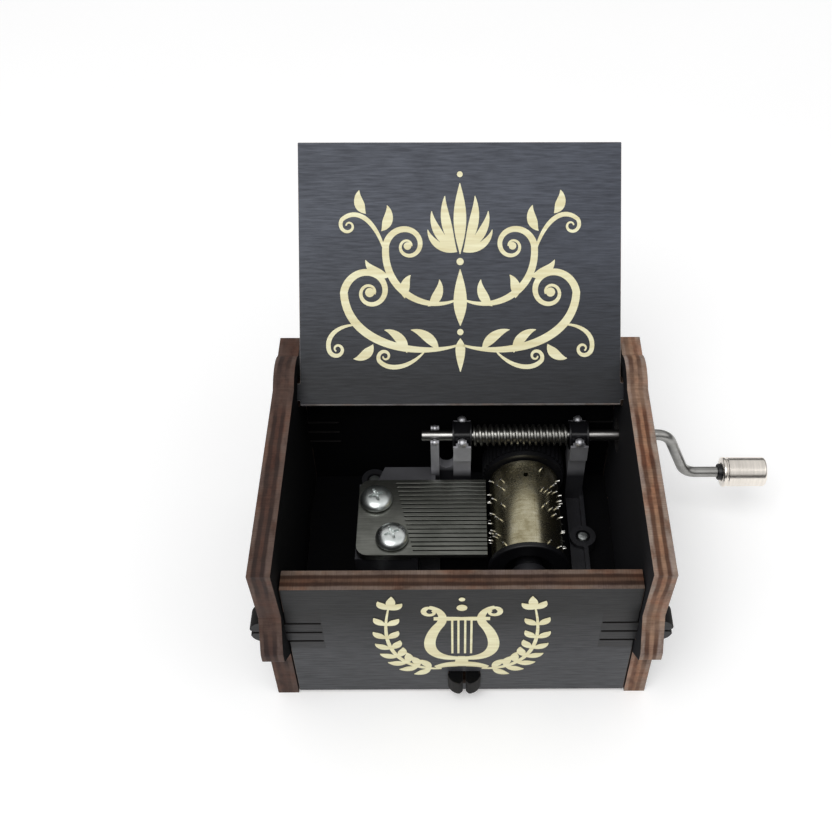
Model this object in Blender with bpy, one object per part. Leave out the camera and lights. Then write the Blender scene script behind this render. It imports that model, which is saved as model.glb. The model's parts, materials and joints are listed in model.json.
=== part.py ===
"""A hand-cranked music box: a snapped-together plywood case, a leaning lid and a bare movement.

X runs from the left side to the right side, where the crank is, Y from front to back and Z up.
The origin is on the table, under the middle of the back panel's bottom edge.
At rest the lid stands open, leaning back on the back panel, and the crank hangs down.
"""

import math

import bmesh
import bpy
from mathutils import Vector

MM = 0.001

# Plywood case
PLY = 3.6 * MM
CASE_WIDTH = 64.0 * MM
CASE_DEPTH = 46.8 * MM
FRONT_HEIGHT = 32.3 * MM
FRONT_RAISE = 0.9 * MM
SIDE_HEIGHT = 39.25 * MM
FLOOR_RAISE = 3.3 * MM
JOINT_GAP = 0.2 * MM

# Silhouette of a side panel, from its top corner down to the cheek round the tenon
CORNER_OVERHANG = 2.3 * MM
REAR_CORNER_OVERHANG = 1.7 * MM
WAIST_OVERHANG = 1.1 * MM
WAIST_ABOVE_TENON = 6.3 * MM
CHEEK_OVERHANG = 4.4 * MM
CHEEK_ABOVE_TENON = 0.4 * MM
CHEEK_BELOW_TENON = 1.7 * MM
CHEEK_ROOT_BELOW_TENON = 6.6 * MM
CHEEK_ROUND = 1.3 * MM

# Snap tenons: two springy arms with barbs, parted by a saw kerf
TENON_HEIGHT = 19.9 * MM
TENON_SPAN = 4.9 * MM
TENON_REACH = 2.2 * MM
BARB = 0.35 * MM
BARB_LAND = 0.5 * MM
NOSE_TAPER = 0.9 * MM
NOSE_BULGE = 0.3 * MM
NOSE_CHAMFER = 0.5 * MM
KERF = 0.35 * MM
KERF_LENGTH = 5.6 * MM
FLOOR_TENON_X = 0.45 * MM
FLOOR_TENON_SLIT = 0.5 * MM
SIDE_TENON_WIDTH = 7.0 * MM
SIDE_TENON_SPREAD = 21.0 * MM

# Lid, cut from the same sheet, with a pivot tab at each end of its tail
LID_REACH = 43.1 * MM
LID_TAIL = 2.4 * MM
LID_SIDE_GAP = 0.44 * MM
LID_SEAT_GAP = 0.3 * MM
LID_LEAN = math.radians(45.0)
LID_CHAMFER = 0.3 * MM
HINGE_FROM_BACK = 3.4 * MM
PIVOT_TAB_WIDTH = 3.0 * MM
PIVOT_TAB_INSET = 0.4 * MM
PIVOT_CLEARANCE = 0.3 * MM
HINGE_BOSS_WALL = 3.75 * MM

# Worm drive
MODULE = 0.35 * MM
GEAR_TEETH = 42
GEAR_WIDTH = 4.2 * MM
GEAR_FLANGE = 1.15 * MM
GEAR_FLANGE_BEVEL = 0.2 * MM
WORM_PITCH_RADIUS = 1.75 * MM
WORM_BORE_CLEARANCE = 0.1 * MM
ADDENDUM = 0.25 * MM
ROOT_CLEARANCE = 0.1 * MM
TOOTH_BACKLASH = 0.16 * MM
PRESSURE_ANGLE = math.radians(20.0)
WORM_STEPS = 16

# Pinned cylinder
CYLINDER_X = 11.7 * MM
CYLINDER_HEIGHT = 8.55 * MM
CYLINDER_RADIUS = 6.3 * MM
CYLINDER_WALL = 1.0 * MM
CYLINDER_LENGTH = 18.3 * MM
PIN_LENGTH = 0.75 * MM
PIN_RADIUS = 0.23 * MM
PIN_FACES = 4
TUNE_BEATS = 41
TUNE_START = math.radians(27.0)
TUNE_SWEEP = math.radians(291.0)
PEG_HOLE_RADIUS = 0.45 * MM
PEG_HOLE_INSET = 3.4 * MM
CAP_RADIUS = 7.0 * MM
CAP_FLANGE = 1.0 * MM
CAP_RECESS = 1.7 * MM
CAP_HUB_WALL = 0.9 * MM
CAP_RIM_WALL = 0.8 * MM
CAP_DRAFT = 0.3 * MM
CAP_EDGE = 0.2 * MM
SPIGOT_LENGTH = 2.0 * MM
FIT_GAP = 0.3 * MM

# Arbor and its bearings
ARBOR_RADIUS = 1.2 * MM
BEARING_THICKNESS = 1.5 * MM
BEARING_GAP = 0.7 * MM
BEARING_HALF_WIDTH = 3.2 * MM
ARBOR_OVERRUN = 0.3 * MM
ARBOR_CHAMFER = 0.3 * MM

# Comb
COMB_LEFT = -18.4 * MM
COMB_WIDTH = 16.7 * MM
COMB_SHIFT = -0.35 * MM
COMB_ABOVE_AXIS = 2.15 * MM
COMB_THICKNESS = 1.5 * MM
TOOTH_THICKNESS = 0.9 * MM
COMB_TEETH = 18
TOOTH_SLIT = 0.24 * MM
BASS_TOOTH_LENGTH = 16.4 * MM
TREBLE_TOOTH_LENGTH = 12.8 * MM
RELIEF_BEFORE_SLITS = 0.6 * MM
COMB_CORNER = 2.0 * MM
PLUCK_CLEARANCE = 0.15 * MM
COMB_SCREW_INSETS = ((3.2 * MM, 4.75 * MM), (6.3 * MM, 13.15 * MM))

# Crankshaft, bent from one wire, and its posts
WIRE_RADIUS = 1.0 * MM
SHAFT_FROM_BACK = 5.05 * MM
SHAFT_LEFT = -7.05 * MM
SHAFT_OUTSIDE = 3.6 * MM
CRANK_DROP = 10.75 * MM
CRANK_BEND_RADIUS = 3.2 * MM
CRANK_SLOPE = math.radians(67.0)
CRANK_HANDLE_RUN = 4.1 * MM
CRANK_HOLE_RADIUS = 3.1 * MM
LEFT_POST_X = 0.3 * MM
RIGHT_POST_X = 21.4 * MM
END_POST_X = -4.65 * MM
POST_WIDTH = 3.2 * MM
FORK_GAP = 4.4 * MM
FORK_ARM = 1.1 * MM
FORK_RISE = 1.6 * MM
FORK_TIP_WIDTH = 1.5 * MM
FORK_TIP_FROM_AXIS = 0.35 * MM
STEM_WAIST = 1.0 * MM
SHOULDER_DROP = 2.2 * MM
SHOULDER_SLOPE = 1.2 * MM
BUSHING_HEIGHT = 4.2 * MM
BUSHING_CORNER = 0.8 * MM
BUSHING_FLANGE_RADIUS = 2.6 * MM
BUSHING_FLANGE = 0.35 * MM
FLANGE_SEAT = 0.5 * MM
RUNNING_GAP = 0.3 * MM

# Flat end post, whose open saddle takes the wire, and the web that ties it to the left post
END_POST_WIDTH = 1.5 * MM
SADDLE_ARM = 0.85 * MM
SADDLE_RISE = 0.5 * MM
WEB_THICKNESS = 1.8 * MM
WEB_ABOVE_SEAT = 2.0 * MM

# Bedplate casting
BED_THICKNESS = 1.5 * MM
BED_LEFT = -18.6 * MM
BED_RIGHT = 23.4 * MM
BED_CORNER = 1.5 * MM
BED_MARGIN = 0.3 * MM
RIM_WIDTH = 0.8 * MM
RIM_HEIGHT = 0.9 * MM
WINDOW_GAP = 0.8 * MM
TOOTH_WINDOW_LEFT = -3.8 * MM
SEAT_RIGHT = -7.6 * MM
SEAT_WALL = 1.6 * MM
SEAT_SHIFT = 0.4 * MM
SEAT_SCREW_WALL = 4.5 * MM
LEDGE_LEFT = -14.1 * MM
LEDGE_DEPTH = 4.5 * MM
LEDGE_SLANT = 1.5 * MM
LUG_RADIUS = 2.4 * MM
LUG_HEIGHT = 2.5 * MM
REAR_LUG_HEIGHT = 5.8 * MM
RIGHT_LUG_INSET = 0.85 * MM
RIGHT_LUG_FROM_CYLINDER = 10.1 * MM
REAR_LUG_INSET = 2.4 * MM
REAR_LUG_BEHIND_COMB = 3.95 * MM
FRONT_LUG_INSET = 4.4 * MM
FRONT_LUG_FROM_EDGE = 1.2 * MM
THREAD_GAP = 0.15 * MM
FUSE = 0.2 * MM

# Screws and knob
SCREW_RADIUS = 1.2 * MM
SCREW_HEAD_RADIUS = 3.0 * MM
SCREW_HEAD_HEIGHT = 1.5 * MM
SCREW_SLOT = 0.7 * MM
SCREW_SLOT_DEPTH = 0.68 * MM
SCREW_HEAD_EDGE = 0.6 * MM
SCREW_DOME_STEP = 0.6 * MM
SCREW_DOME_INSET = 0.8 * MM
SCREW_TIP = 0.5 * MM
COMB_SCREW_LENGTH = 5.5 * MM
KNOB_RADIUS = 2.85 * MM
KNOB_LENGTH = 8.3 * MM
KNOB_END = 1.0 * MM
KNOB_END_ROUND = 0.6 * MM
KNOB_RIM = 0.9 * MM
KNOB_RIM_EDGE = 0.2 * MM
KNOB_GROOVE = 0.15 * MM
KNOB_WAIST = 0.05 * MM
KNOB_BUSH_RADIUS = 2.0 * MM
KNOB_BUSH_LIP = 0.7 * MM
KNOB_BUSH_EDGE = 0.3 * MM
KNOB_BUSH_DEPTH = 3.0 * MM

# Places that follow from the sizes above
SIDE_INNER = CASE_WIDTH / 2 - PLY
SIDE_OUTER = CASE_WIDTH / 2
BACK_OUTER = PLY / 2
BACK_INNER = -PLY / 2
FRONT_OUTER = BACK_OUTER - CASE_DEPTH
FRONT_INNER = FRONT_OUTER + PLY
CASE_MIDDLE = (FRONT_OUTER + BACK_OUTER) / 2
FLOOR_TOP = FLOOR_RAISE + PLY

HINGE_Y = BACK_INNER - HINGE_FROM_BACK
HINGE_Z = FRONT_HEIGHT + LID_SEAT_GAP + PLY / 2
PIVOT_HOLE_RADIUS = math.hypot(PIVOT_TAB_WIDTH, PLY) / 2 + PIVOT_CLEARANCE
HINGE_BOSS_RADIUS = PIVOT_HOLE_RADIUS + HINGE_BOSS_WALL
LID_REST_FACE = HINGE_Z + (HINGE_FROM_BACK * math.cos(LID_LEAN) - PLY / 2) / math.sin(LID_LEAN)
BACK_HEIGHT = LID_REST_FACE - LID_SEAT_GAP / math.sin(LID_LEAN)

GEAR_PITCH_RADIUS = MODULE * GEAR_TEETH / 2
PITCH = math.pi * MODULE
SHAFT_Y = BACK_INNER - SHAFT_FROM_BACK
AXIS_Z = FLOOR_TOP + CYLINDER_HEIGHT
SHAFT_Z = AXIS_Z + GEAR_PITCH_RADIUS + WORM_PITCH_RADIUS

GEAR_BACK = SHAFT_Y + GEAR_WIDTH / 2
GEAR_FRONT = SHAFT_Y - GEAR_WIDTH / 2
FLANGE_FRONT = GEAR_FRONT - GEAR_FLANGE
CYLINDER_BACK = FLANGE_FRONT - FIT_GAP
CYLINDER_FRONT = CYLINDER_BACK - CYLINDER_LENGTH
CAP_BACK = CYLINDER_FRONT - FIT_GAP
CAP_FRONT = CAP_BACK - CAP_FLANGE
PIN_TIP_RADIUS = CYLINDER_RADIUS + PIN_LENGTH
BORE_RADIUS = CYLINDER_RADIUS - CYLINDER_WALL
SPIGOT_RADIUS = BORE_RADIUS - FIT_GAP
ARBOR_HOLE_RADIUS = ARBOR_RADIUS + FIT_GAP

FRONT_BEARING = CAP_FRONT - BEARING_GAP - BEARING_THICKNESS
REAR_BEARING = GEAR_BACK + BEARING_GAP

COMB_MIDDLE = (CYLINDER_FRONT + CYLINDER_BACK) / 2 + COMB_SHIFT
COMB_FRONT = COMB_MIDDLE - COMB_WIDTH / 2
COMB_BACK = COMB_MIDDLE + COMB_WIDTH / 2
COMB_TOP = AXIS_Z + COMB_ABOVE_AXIS
COMB_UNDER = COMB_TOP - COMB_THICKNESS
TOOTH_UNDER_ABOVE_AXIS = COMB_ABOVE_AXIS - TOOTH_THICKNESS
PLUCK_DEPTH = math.sqrt(PIN_TIP_RADIUS**2 - TOOTH_UNDER_ABOVE_AXIS**2)
COMB_TIP = CYLINDER_X - PLUCK_DEPTH - PLUCK_CLEARANCE
TOOTH_PITCH = COMB_WIDTH / COMB_TEETH
COMB_SCREWS = [(COMB_LEFT + dx, COMB_BACK - dy) for dx, dy in COMB_SCREW_INSETS]

BED_UNDER = FLOOR_TOP + FIT_GAP
BED_TOP = BED_UNDER + BED_THICKNESS
BED_FRONT = FRONT_BEARING - BED_MARGIN
BED_BACK = REAR_BEARING + BEARING_THICKNESS
SEAT_TOP = COMB_UNDER - FIT_GAP
SEAT_FRONT = COMB_FRONT + SEAT_SHIFT
SEAT_BACK = COMB_BACK + SEAT_SHIFT
LEDGE_BACK = COMB_BACK + LEDGE_DEPTH
LEDGE_RIGHT = END_POST_X
LUGS = {
    "right": (BED_RIGHT - RIGHT_LUG_INSET, CYLINDER_FRONT + RIGHT_LUG_FROM_CYLINDER, LUG_HEIGHT),
    "rear": (BED_LEFT + REAR_LUG_INSET, COMB_BACK + REAR_LUG_BEHIND_COMB, REAR_LUG_HEIGHT),
    "front": (BED_LEFT + FRONT_LUG_INSET, BED_FRONT + FRONT_LUG_FROM_EDGE, LUG_HEIGHT),
}

POST_WEB = POST_WIDTH / 2 - FLANGE_SEAT
BUSHING_REACH = POST_WEB + RUNNING_GAP + BUSHING_FLANGE

BEND_START = SIDE_OUTER + SHAFT_OUTSIDE
BEND_RUN = CRANK_DROP - 2 * CRANK_BEND_RADIUS * (1 - math.cos(CRANK_SLOPE))
BEND_END = (
    BEND_START
    + 2 * CRANK_BEND_RADIUS * math.sin(CRANK_SLOPE)
    + BEND_RUN / math.tan(CRANK_SLOPE)
)
KNOB_LEFT = BEND_END + CRANK_HANDLE_RUN + KNOB_BUSH_LIP
KNOB_RIGHT = KNOB_LEFT + KNOB_LENGTH
WIRE_END = KNOB_RIGHT - KNOB_END - RUNNING_GAP
HANDLE_BORE_RADIUS = WIRE_RADIUS + RUNNING_GAP


def clear_scene():
    for thing in list(bpy.data.objects):
        bpy.data.objects.remove(thing, do_unlink=True)


def material(name, colour, roughness, metallic=0.0):
    """A Principled material, made once for each name."""
    found = bpy.data.materials.get(name)
    if found:
        return found
    made = bpy.data.materials.new(name)
    made.use_nodes = True
    shader = made.node_tree.nodes["Principled BSDF"]
    shader.inputs["Base Color"].default_value = (*colour, 1.0)
    shader.inputs["Roughness"].default_value = roughness
    shader.inputs["Metallic"].default_value = metallic
    made.diffuse_color = (*colour, 1.0)
    return made


def black_ply():
    return material("black_plywood", (0.035, 0.034, 0.036), 0.6)


def cast_metal():
    return material("cast_metal", (0.16, 0.16, 0.17), 0.45, 0.8)


def comb_steel():
    return material("comb_steel", (0.2, 0.2, 0.19), 0.35, 1.0)


def brass():
    return material("brass", (0.62, 0.56, 0.42), 0.3, 1.0)


def dark_plastic():
    return material("dark_plastic", (0.03, 0.03, 0.035), 0.4)


def bright_steel():
    return material("bright_steel", (0.72, 0.71, 0.69), 0.25, 1.0)


def to_axis(axis, along, u, v):
    """A point at (u, v) across an axis and at `along` on it."""
    if axis == "X":
        return Vector((along, u, v))
    if axis == "Y":
        return Vector((u, along, v))
    return Vector((u, v, along))


def make_object(name, mesh_source, finish):
    """Turns a bmesh into a linked object whose faces point outwards."""
    bmesh.ops.recalc_face_normals(mesh_source, faces=mesh_source.faces)
    mesh = bpy.data.meshes.new(name)
    mesh_source.to_mesh(mesh)
    mesh_source.free()
    if finish:
        mesh.materials.append(finish)
    made = bpy.data.objects.new(name, mesh)
    bpy.context.scene.collection.objects.link(made)
    return made


def prism(name, outline, low, high, axis, finish=None):
    """Extrudes a flat outline from `low` to `high` along an axis."""
    shape = bmesh.new()
    face = shape.faces.new([shape.verts.new(to_axis(axis, low, u, v)) for u, v in outline])
    raised = bmesh.ops.extrude_face_region(shape, geom=[face])["geom"]
    corners = [corner for corner in raised if isinstance(corner, bmesh.types.BMVert)]
    bmesh.ops.translate(shape, vec=to_axis(axis, high - low, 0.0, 0.0), verts=corners)
    return make_object(name, shape, finish)


def block(name, low, high, finish=None):
    outline = [(low[0], low[1]), (high[0], low[1]), (high[0], high[1]), (low[0], high[1])]
    return prism(name, outline, low[2], high[2], "Z", finish)


def turned(name, profile, axis, centre, finish=None, steps=32):
    """Turns a closed profile of (along, radius) points about an axis through `centre`."""
    shape = bmesh.new()
    rings = []
    for along, radius in profile:
        angles = [2 * math.pi * k / steps for k in range(steps)] if radius > 0 else [0.0]
        places = [to_axis(axis, along, radius * math.cos(a), radius * math.sin(a)) for a in angles]
        rings.append([shape.verts.new(place + Vector(centre)) for place in places])
    for ring, following in zip(rings, rings[1:] + rings[:1]):
        if len(ring) == 1 and len(following) == 1:
            continue
        for k in range(steps):
            corners = [ring[k % len(ring)], ring[(k + 1) % len(ring)]]
            corners += [following[(k + 1) % len(following)], following[k % len(following)]]
            shape.faces.new(list(dict.fromkeys(corners)))
    return make_object(name, shape, finish)


def rod(name, radius, low, high, axis, centre, steps=24):
    """A round bar about an axis; the two coordinates of `centre` across the axis place it."""
    profile = [(low, 0.0), (low, radius), (high, radius), (high, 0.0)]
    return turned(name, profile, axis, centre, None, steps)


def combine(target, tools, operation):
    """Joins tools to a piece or cuts them from it, and removes the tools."""
    for tool in tools:
        change = target.modifiers.new(operation, "BOOLEAN")
        change.operation = operation
        change.solver = "EXACT"
        change.object = tool
        graph = bpy.context.evaluated_depsgraph_get()
        shaped = bpy.data.meshes.new_from_object(target.evaluated_get(graph))
        target.modifiers.clear()
        plain = target.data
        target.data = shaped
        bpy.data.meshes.remove(plain)
        bpy.data.objects.remove(tool, do_unlink=True)
        shaped.name = target.name


def cut(target, *tools):
    combine(target, tools, "DIFFERENCE")


def join(target, *tools):
    combine(target, tools, "UNION")


def smooth(piece):
    """Shades the round faces smooth and keeps the corners crisp."""
    piece.data.shade_smooth()
    piece.data.set_sharp_from_angle(angle=math.radians(35.0))


def pivot(name, place, parent=None):
    """An empty on a joint's axis, which carries the pieces that turn about it."""
    empty = bpy.data.objects.new(name, None)
    empty.empty_display_size = 4 * MM
    bpy.context.scene.collection.objects.link(empty)
    empty.location = place
    empty.parent = parent
    return empty


def carry(empty, *pieces):
    for piece in pieces:
        piece.parent = empty


def arc(centre, radius, start, end, steps):
    """Points on a circle from one angle to another, both ends included."""
    span = [start + (end - start) * k / steps for k in range(steps + 1)]
    return [(centre[0] + radius * math.cos(a), centre[1] + radius * math.sin(a)) for a in span]


def rounded(corner, before, after, radius, steps=4):
    """Replaces an outline's corner by an arc that touches both of its edges."""
    here, back, ahead = Vector(corner), Vector(before), Vector(after)
    to_back = (back - here).normalized()
    to_ahead = (ahead - here).normalized()
    half = to_back.angle(to_ahead) / 2
    reach = radius / math.tan(half)
    centre = here + (to_back + to_ahead).normalized() * (radius / math.sin(half))
    first = here + to_back * reach - centre
    turn = first.angle_signed(here + to_ahead * reach - centre)
    start = math.atan2(first.y, first.x)
    return arc(centre, radius, start, start - turn, steps)


def rounded_rectangle(low, high, radius):
    corners = [(low[0], low[1]), (high[0], low[1]), (high[0], high[1]), (low[0], high[1])]
    points = []
    for k, corner in enumerate(corners):
        points += rounded(corner, corners[k - 1], corners[(k + 1) % 4], radius)
    return points


def bulge(start, end, rise, steps):
    """A shallow curve from one point to another that stands `rise` proud on its right."""
    start, end = Vector(start), Vector(end)
    chord = end - start
    out = Vector((chord.y, -chord.x)).normalized()
    shares = [k / steps for k in range(steps + 1)]
    return [tuple(start + chord * t + out * rise * math.sin(math.pi * t)) for t in shares]


def snap_arms(root, wall_far, middle, span, slit):
    """The outline of two barbed arms, as (reach, height) points from low to high.

    The arms leave the panel at `root`, pass the wall that ends at `wall_far` and snap behind it.
    """
    nose = wall_far + TENON_REACH
    shoulder = wall_far + JOINT_GAP
    outside = span / 2
    inside = slit / 2
    barb_end = (shoulder + BARB_LAND, middle - outside - BARB)
    flank_end = (nose, middle - inside - NOSE_TAPER)
    lower = [(root, middle - outside), (shoulder, middle - outside), (shoulder, middle - outside - BARB)]
    lower += bulge(barb_end, flank_end, NOSE_BULGE, 4)
    lower += [(nose, middle - inside - NOSE_CHAMFER), (nose - NOSE_CHAMFER, middle - inside)]
    upper = [(reach, 2 * middle - height) for reach, height in reversed(lower)]
    return lower, upper


def wall_panel(name, front_face, foot, height):
    """The front or back panel: a slab whose split tenons pass through both side panels."""
    edge = SIDE_INNER - JOINT_GAP
    kerf_end = edge - KERF_LENGTH
    lower, upper = snap_arms(edge, SIDE_OUTER, TENON_HEIGHT, TENON_SPAN, KERF)
    kerf_low = TENON_HEIGHT - TENON_SPAN / 2
    kerf_high = TENON_HEIGHT + TENON_SPAN / 2
    right = [(edge, foot), (edge, kerf_low - KERF), (kerf_end, kerf_low - KERF), (kerf_end, kerf_low)]
    right += lower
    right += [(kerf_end, TENON_HEIGHT - KERF / 2), (kerf_end, TENON_HEIGHT + KERF / 2)]
    right += upper
    right += [(kerf_end, kerf_high), (kerf_end, kerf_high + KERF), (edge, kerf_high + KERF), (edge, height)]
    left = [(-reach, z) for reach, z in reversed(right)]
    panel = prism(name, right + left, front_face, front_face + PLY, "Y", black_ply())
    mortise = block(
        name + "_mortise",
        (FLOOR_TENON_X - TENON_SPAN / 2 - JOINT_GAP, front_face - PLY, FLOOR_RAISE - JOINT_GAP),
        (FLOOR_TENON_X + TENON_SPAN / 2 + JOINT_GAP, front_face + 2 * PLY, FLOOR_TOP + JOINT_GAP),
    )
    cut(panel, mortise)
    return panel


def side_edge(corner_overhang):
    """One upright edge of a side panel, from its foot to its top corner, drawn as the front one."""
    front = FRONT_OUTER
    cheek_root = (front, TENON_HEIGHT - CHEEK_ROOT_BELOW_TENON)
    cheek_low = (front - CHEEK_OVERHANG, TENON_HEIGHT - CHEEK_BELOW_TENON)
    cheek_top = (front - CHEEK_OVERHANG, TENON_HEIGHT + CHEEK_ABOVE_TENON)
    waist = (front - WAIST_OVERHANG, TENON_HEIGHT + WAIST_ABOVE_TENON)
    points = [(front, 0.0), cheek_root]
    points += rounded(cheek_low, cheek_root, cheek_top, CHEEK_ROUND)
    points += rounded(cheek_top, cheek_low, waist, CHEEK_ROUND)
    points += [waist, (front - corner_overhang, SIDE_HEIGHT)]
    return points


def side_outline():
    """Up the front edge, over the boss round the lid's pivot and down the back edge."""
    back_edge = [(2 * CASE_MIDDLE - y, z) for y, z in reversed(side_edge(REAR_CORNER_OVERHANG))]
    rise = SIDE_HEIGHT - HINGE_Z
    half_chord = math.acos(min(rise / HINGE_BOSS_RADIUS, 1.0))
    start, end = math.pi / 2 + half_chord, math.pi / 2 - half_chord
    boss = arc((HINGE_Y, HINGE_Z), HINGE_BOSS_RADIUS, start, end, 14)
    return side_edge(CORNER_OVERHANG) + boss + back_edge


def side_panel(name, inner_face, outer_face):
    """A side: mortises for the front, back and floor, and the lid's pivot hole."""
    low, high = sorted((inner_face, outer_face))
    panel = prism(name, side_outline(), low, high, "X", black_ply())
    past = PLY
    half = TENON_SPAN / 2 + JOINT_GAP
    tools = []
    for y in (FRONT_OUTER, BACK_INNER):
        corner = (low - past, y - JOINT_GAP, TENON_HEIGHT - half)
        far = (high + past, y + PLY + JOINT_GAP, TENON_HEIGHT + half)
        tools.append(block("tenon_mortise", corner, far))
    for y in side_tenon_places():
        corner = (low - past, y - SIDE_TENON_WIDTH / 2 - JOINT_GAP, FLOOR_RAISE - JOINT_GAP)
        far = (high + past, y + SIDE_TENON_WIDTH / 2 + JOINT_GAP, FLOOR_TOP + JOINT_GAP)
        tools.append(block("floor_mortise", corner, far))
    centre = (0, HINGE_Y, HINGE_Z)
    pivot_hole = rod("pivot_hole", PIVOT_HOLE_RADIUS, low - past, high + past, "X", centre, 32)
    cut(panel, pivot_hole, *tools)
    return panel


def side_tenon_places():
    return (CASE_MIDDLE - SIDE_TENON_SPREAD / 2, CASE_MIDDLE + SIDE_TENON_SPREAD / 2)


def crank_side_panel():
    panel = side_panel("right_side_panel", SIDE_INNER, SIDE_OUTER)
    ends = (SIDE_INNER - PLY, SIDE_OUTER + PLY)
    cut(panel, rod("crank_hole", CRANK_HOLE_RADIUS, *ends, "X", (0, SHAFT_Y, SHAFT_Z), 32))
    return panel


def floor_panel():
    """The floor: split tenons front and back, plain ones at the sides, three screw holes."""
    edge = SIDE_INNER - JOINT_GAP
    front = FRONT_INNER + JOINT_GAP
    back = BACK_INNER - JOINT_GAP
    lower, upper = snap_arms(0.0, PLY + JOINT_GAP, FLOOR_TENON_X, TENON_SPAN, FLOOR_TENON_SLIT)
    slit = [(-KERF_LENGTH, FLOOR_TENON_X + side * FLOOR_TENON_SLIT / 2) for side in (-1, 1)]
    arms = lower + slit + upper
    front_arms = [(x, front - reach) for reach, x in arms]
    back_arms = [(x, back + reach) for reach, x in reversed(arms)]
    tenon = SIDE_OUTER
    right = [(edge, front)]
    for y in side_tenon_places():
        low, high = y - SIDE_TENON_WIDTH / 2, y + SIDE_TENON_WIDTH / 2
        right += [(edge, low), (tenon, low), (tenon, high), (edge, high)]
    right += [(edge, back)]
    left = [(-x, y) for x, y in reversed(right)]
    outline = front_arms + right + back_arms + left
    panel = prism("floor_panel", outline, FLOOR_RAISE, FLOOR_TOP, "Z", black_ply())
    for x, y, _ in LUGS.values():
        cut(panel, rod("screw_hole", SCREW_RADIUS + FIT_GAP, 0, FLOOR_TOP + PLY, "Z", (x, y, 0), 20))
    return panel


def lid():
    """The lid in its closed place, about the hinge axis; its tail swings down behind the axis."""
    edge = SIDE_INNER - LID_SIDE_GAP
    tab_end = SIDE_OUTER - PIVOT_TAB_INSET
    half = PIVOT_TAB_WIDTH / 2
    outline = [(edge, -LID_REACH), (edge, -half), (tab_end, -half), (tab_end, half), (edge, half)]
    outline += [(edge, LID_TAIL)]
    outline += [(-x, y) for x, y in reversed(outline)]
    plate = prism("lid", outline, -PLY / 2, PLY / 2, "Z", black_ply())
    lip = [
        (LID_TAIL - LID_CHAMFER, -PLY / 2 - MM),
        (LID_TAIL - LID_CHAMFER, -PLY / 2),
        (LID_TAIL, -PLY / 2 + LID_CHAMFER),
        (LID_TAIL + MM, -PLY / 2 + LID_CHAMFER),
        (LID_TAIL + MM, -PLY / 2 - MM),
    ]
    cut(plate, prism("tail_chamfer", lip, -CASE_WIDTH, CASE_WIDTH, "X"))
    hinge = pivot("lid_hinge", (0, HINGE_Y, HINGE_Z))
    hinge.rotation_euler.x = -(math.pi / 2 + LID_LEAN)
    carry(hinge, plate)


def gear_ring(turn):
    """The worm wheel's outline, turned about its axis, with a tooth space at the top."""
    tooth = PITCH / 2 - TOOTH_BACKLASH / 2
    tip = GEAR_PITCH_RADIUS + ADDENDUM
    root = GEAR_PITCH_RADIUS - ADDENDUM - ROOT_CLEARANCE
    lean = math.tan(PRESSURE_ANGLE)
    points = []
    for k in range(GEAR_TEETH):
        middle = 2 * math.pi * (k + 0.5) / GEAR_TEETH + turn
        flanks = ((root, -1), (tip, -1), (tip, 1), (root, 1))
        for radius, side in flanks:
            half = tooth / 2 + (GEAR_PITCH_RADIUS - radius) * lean
            angle = middle + side * half / radius
            points.append((radius * math.sin(angle), radius * math.cos(angle)))
    return points


def drive_gear():
    """The moulded worm wheel: slanted teeth, a flange against the cylinder and a spigot inside it."""
    lead = PITCH / (2 * math.pi * WORM_PITCH_RADIUS)
    twist = GEAR_WIDTH / 2 * lead / GEAR_PITCH_RADIUS
    shape = bmesh.new()
    rings = []
    for y, turn in ((GEAR_FRONT, -twist), (GEAR_BACK, twist)):
        rings.append([shape.verts.new((x, y, z)) for x, z in gear_ring(turn)])
    count = len(rings[0])
    for k in range(count):
        shape.faces.new((rings[0][k], rings[0][(k + 1) % count], rings[1][(k + 1) % count], rings[1][k]))
    for ring in rings:
        shape.faces.new(ring)
    gear = make_object("drive_gear", shape, dark_plastic())
    overlap = 0.5 * MM
    hub = [
        (FLANGE_FRONT - SPIGOT_LENGTH, 0.0),
        (FLANGE_FRONT - SPIGOT_LENGTH, SPIGOT_RADIUS),
        (FLANGE_FRONT, SPIGOT_RADIUS),
        (FLANGE_FRONT, GEAR_PITCH_RADIUS),
        (GEAR_FRONT - GEAR_FLANGE_BEVEL, GEAR_PITCH_RADIUS),
        (GEAR_FRONT + overlap, GEAR_PITCH_RADIUS - 2 * ADDENDUM - ROOT_CLEARANCE),
        (GEAR_FRONT + overlap, 0.0),
    ]
    join(gear, turned("gear_hub", hub, "Y", (0, 0, 0), None, 48))
    ends = (FLANGE_FRONT - SPIGOT_LENGTH - MM, GEAR_BACK + MM)
    cut(gear, rod("arbor_hole", ARBOR_HOLE_RADIUS, *ends, "Y", (0, 0, 0)))
    return gear


def tune_pins():
    """The track and angle of each pin: a wandering melody over a slow bass, silent on top."""
    pins = set()
    for beat in range(TUNE_BEATS):
        angle = TUNE_START + TUNE_SWEEP * beat / (TUNE_BEATS - 1)
        swell = math.sin(2 * math.pi * beat / 13) + 0.6 * math.sin(2 * math.pi * beat / 5 + 1)
        melody = round(6.2 + 3.2 * swell)
        bass = COMB_TEETH - 1 - (beat * 5) % 6
        pins.add((melody, angle))
        if beat % 3 != 2:
            pins.add((bass, angle))
        if beat % 2 == 0:
            pins.add(((melody + 4) % COMB_TEETH, angle))
        if beat % 3 == 1:
            pins.add(((melody + 9) % COMB_TEETH, angle))
    return sorted(pins)


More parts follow.
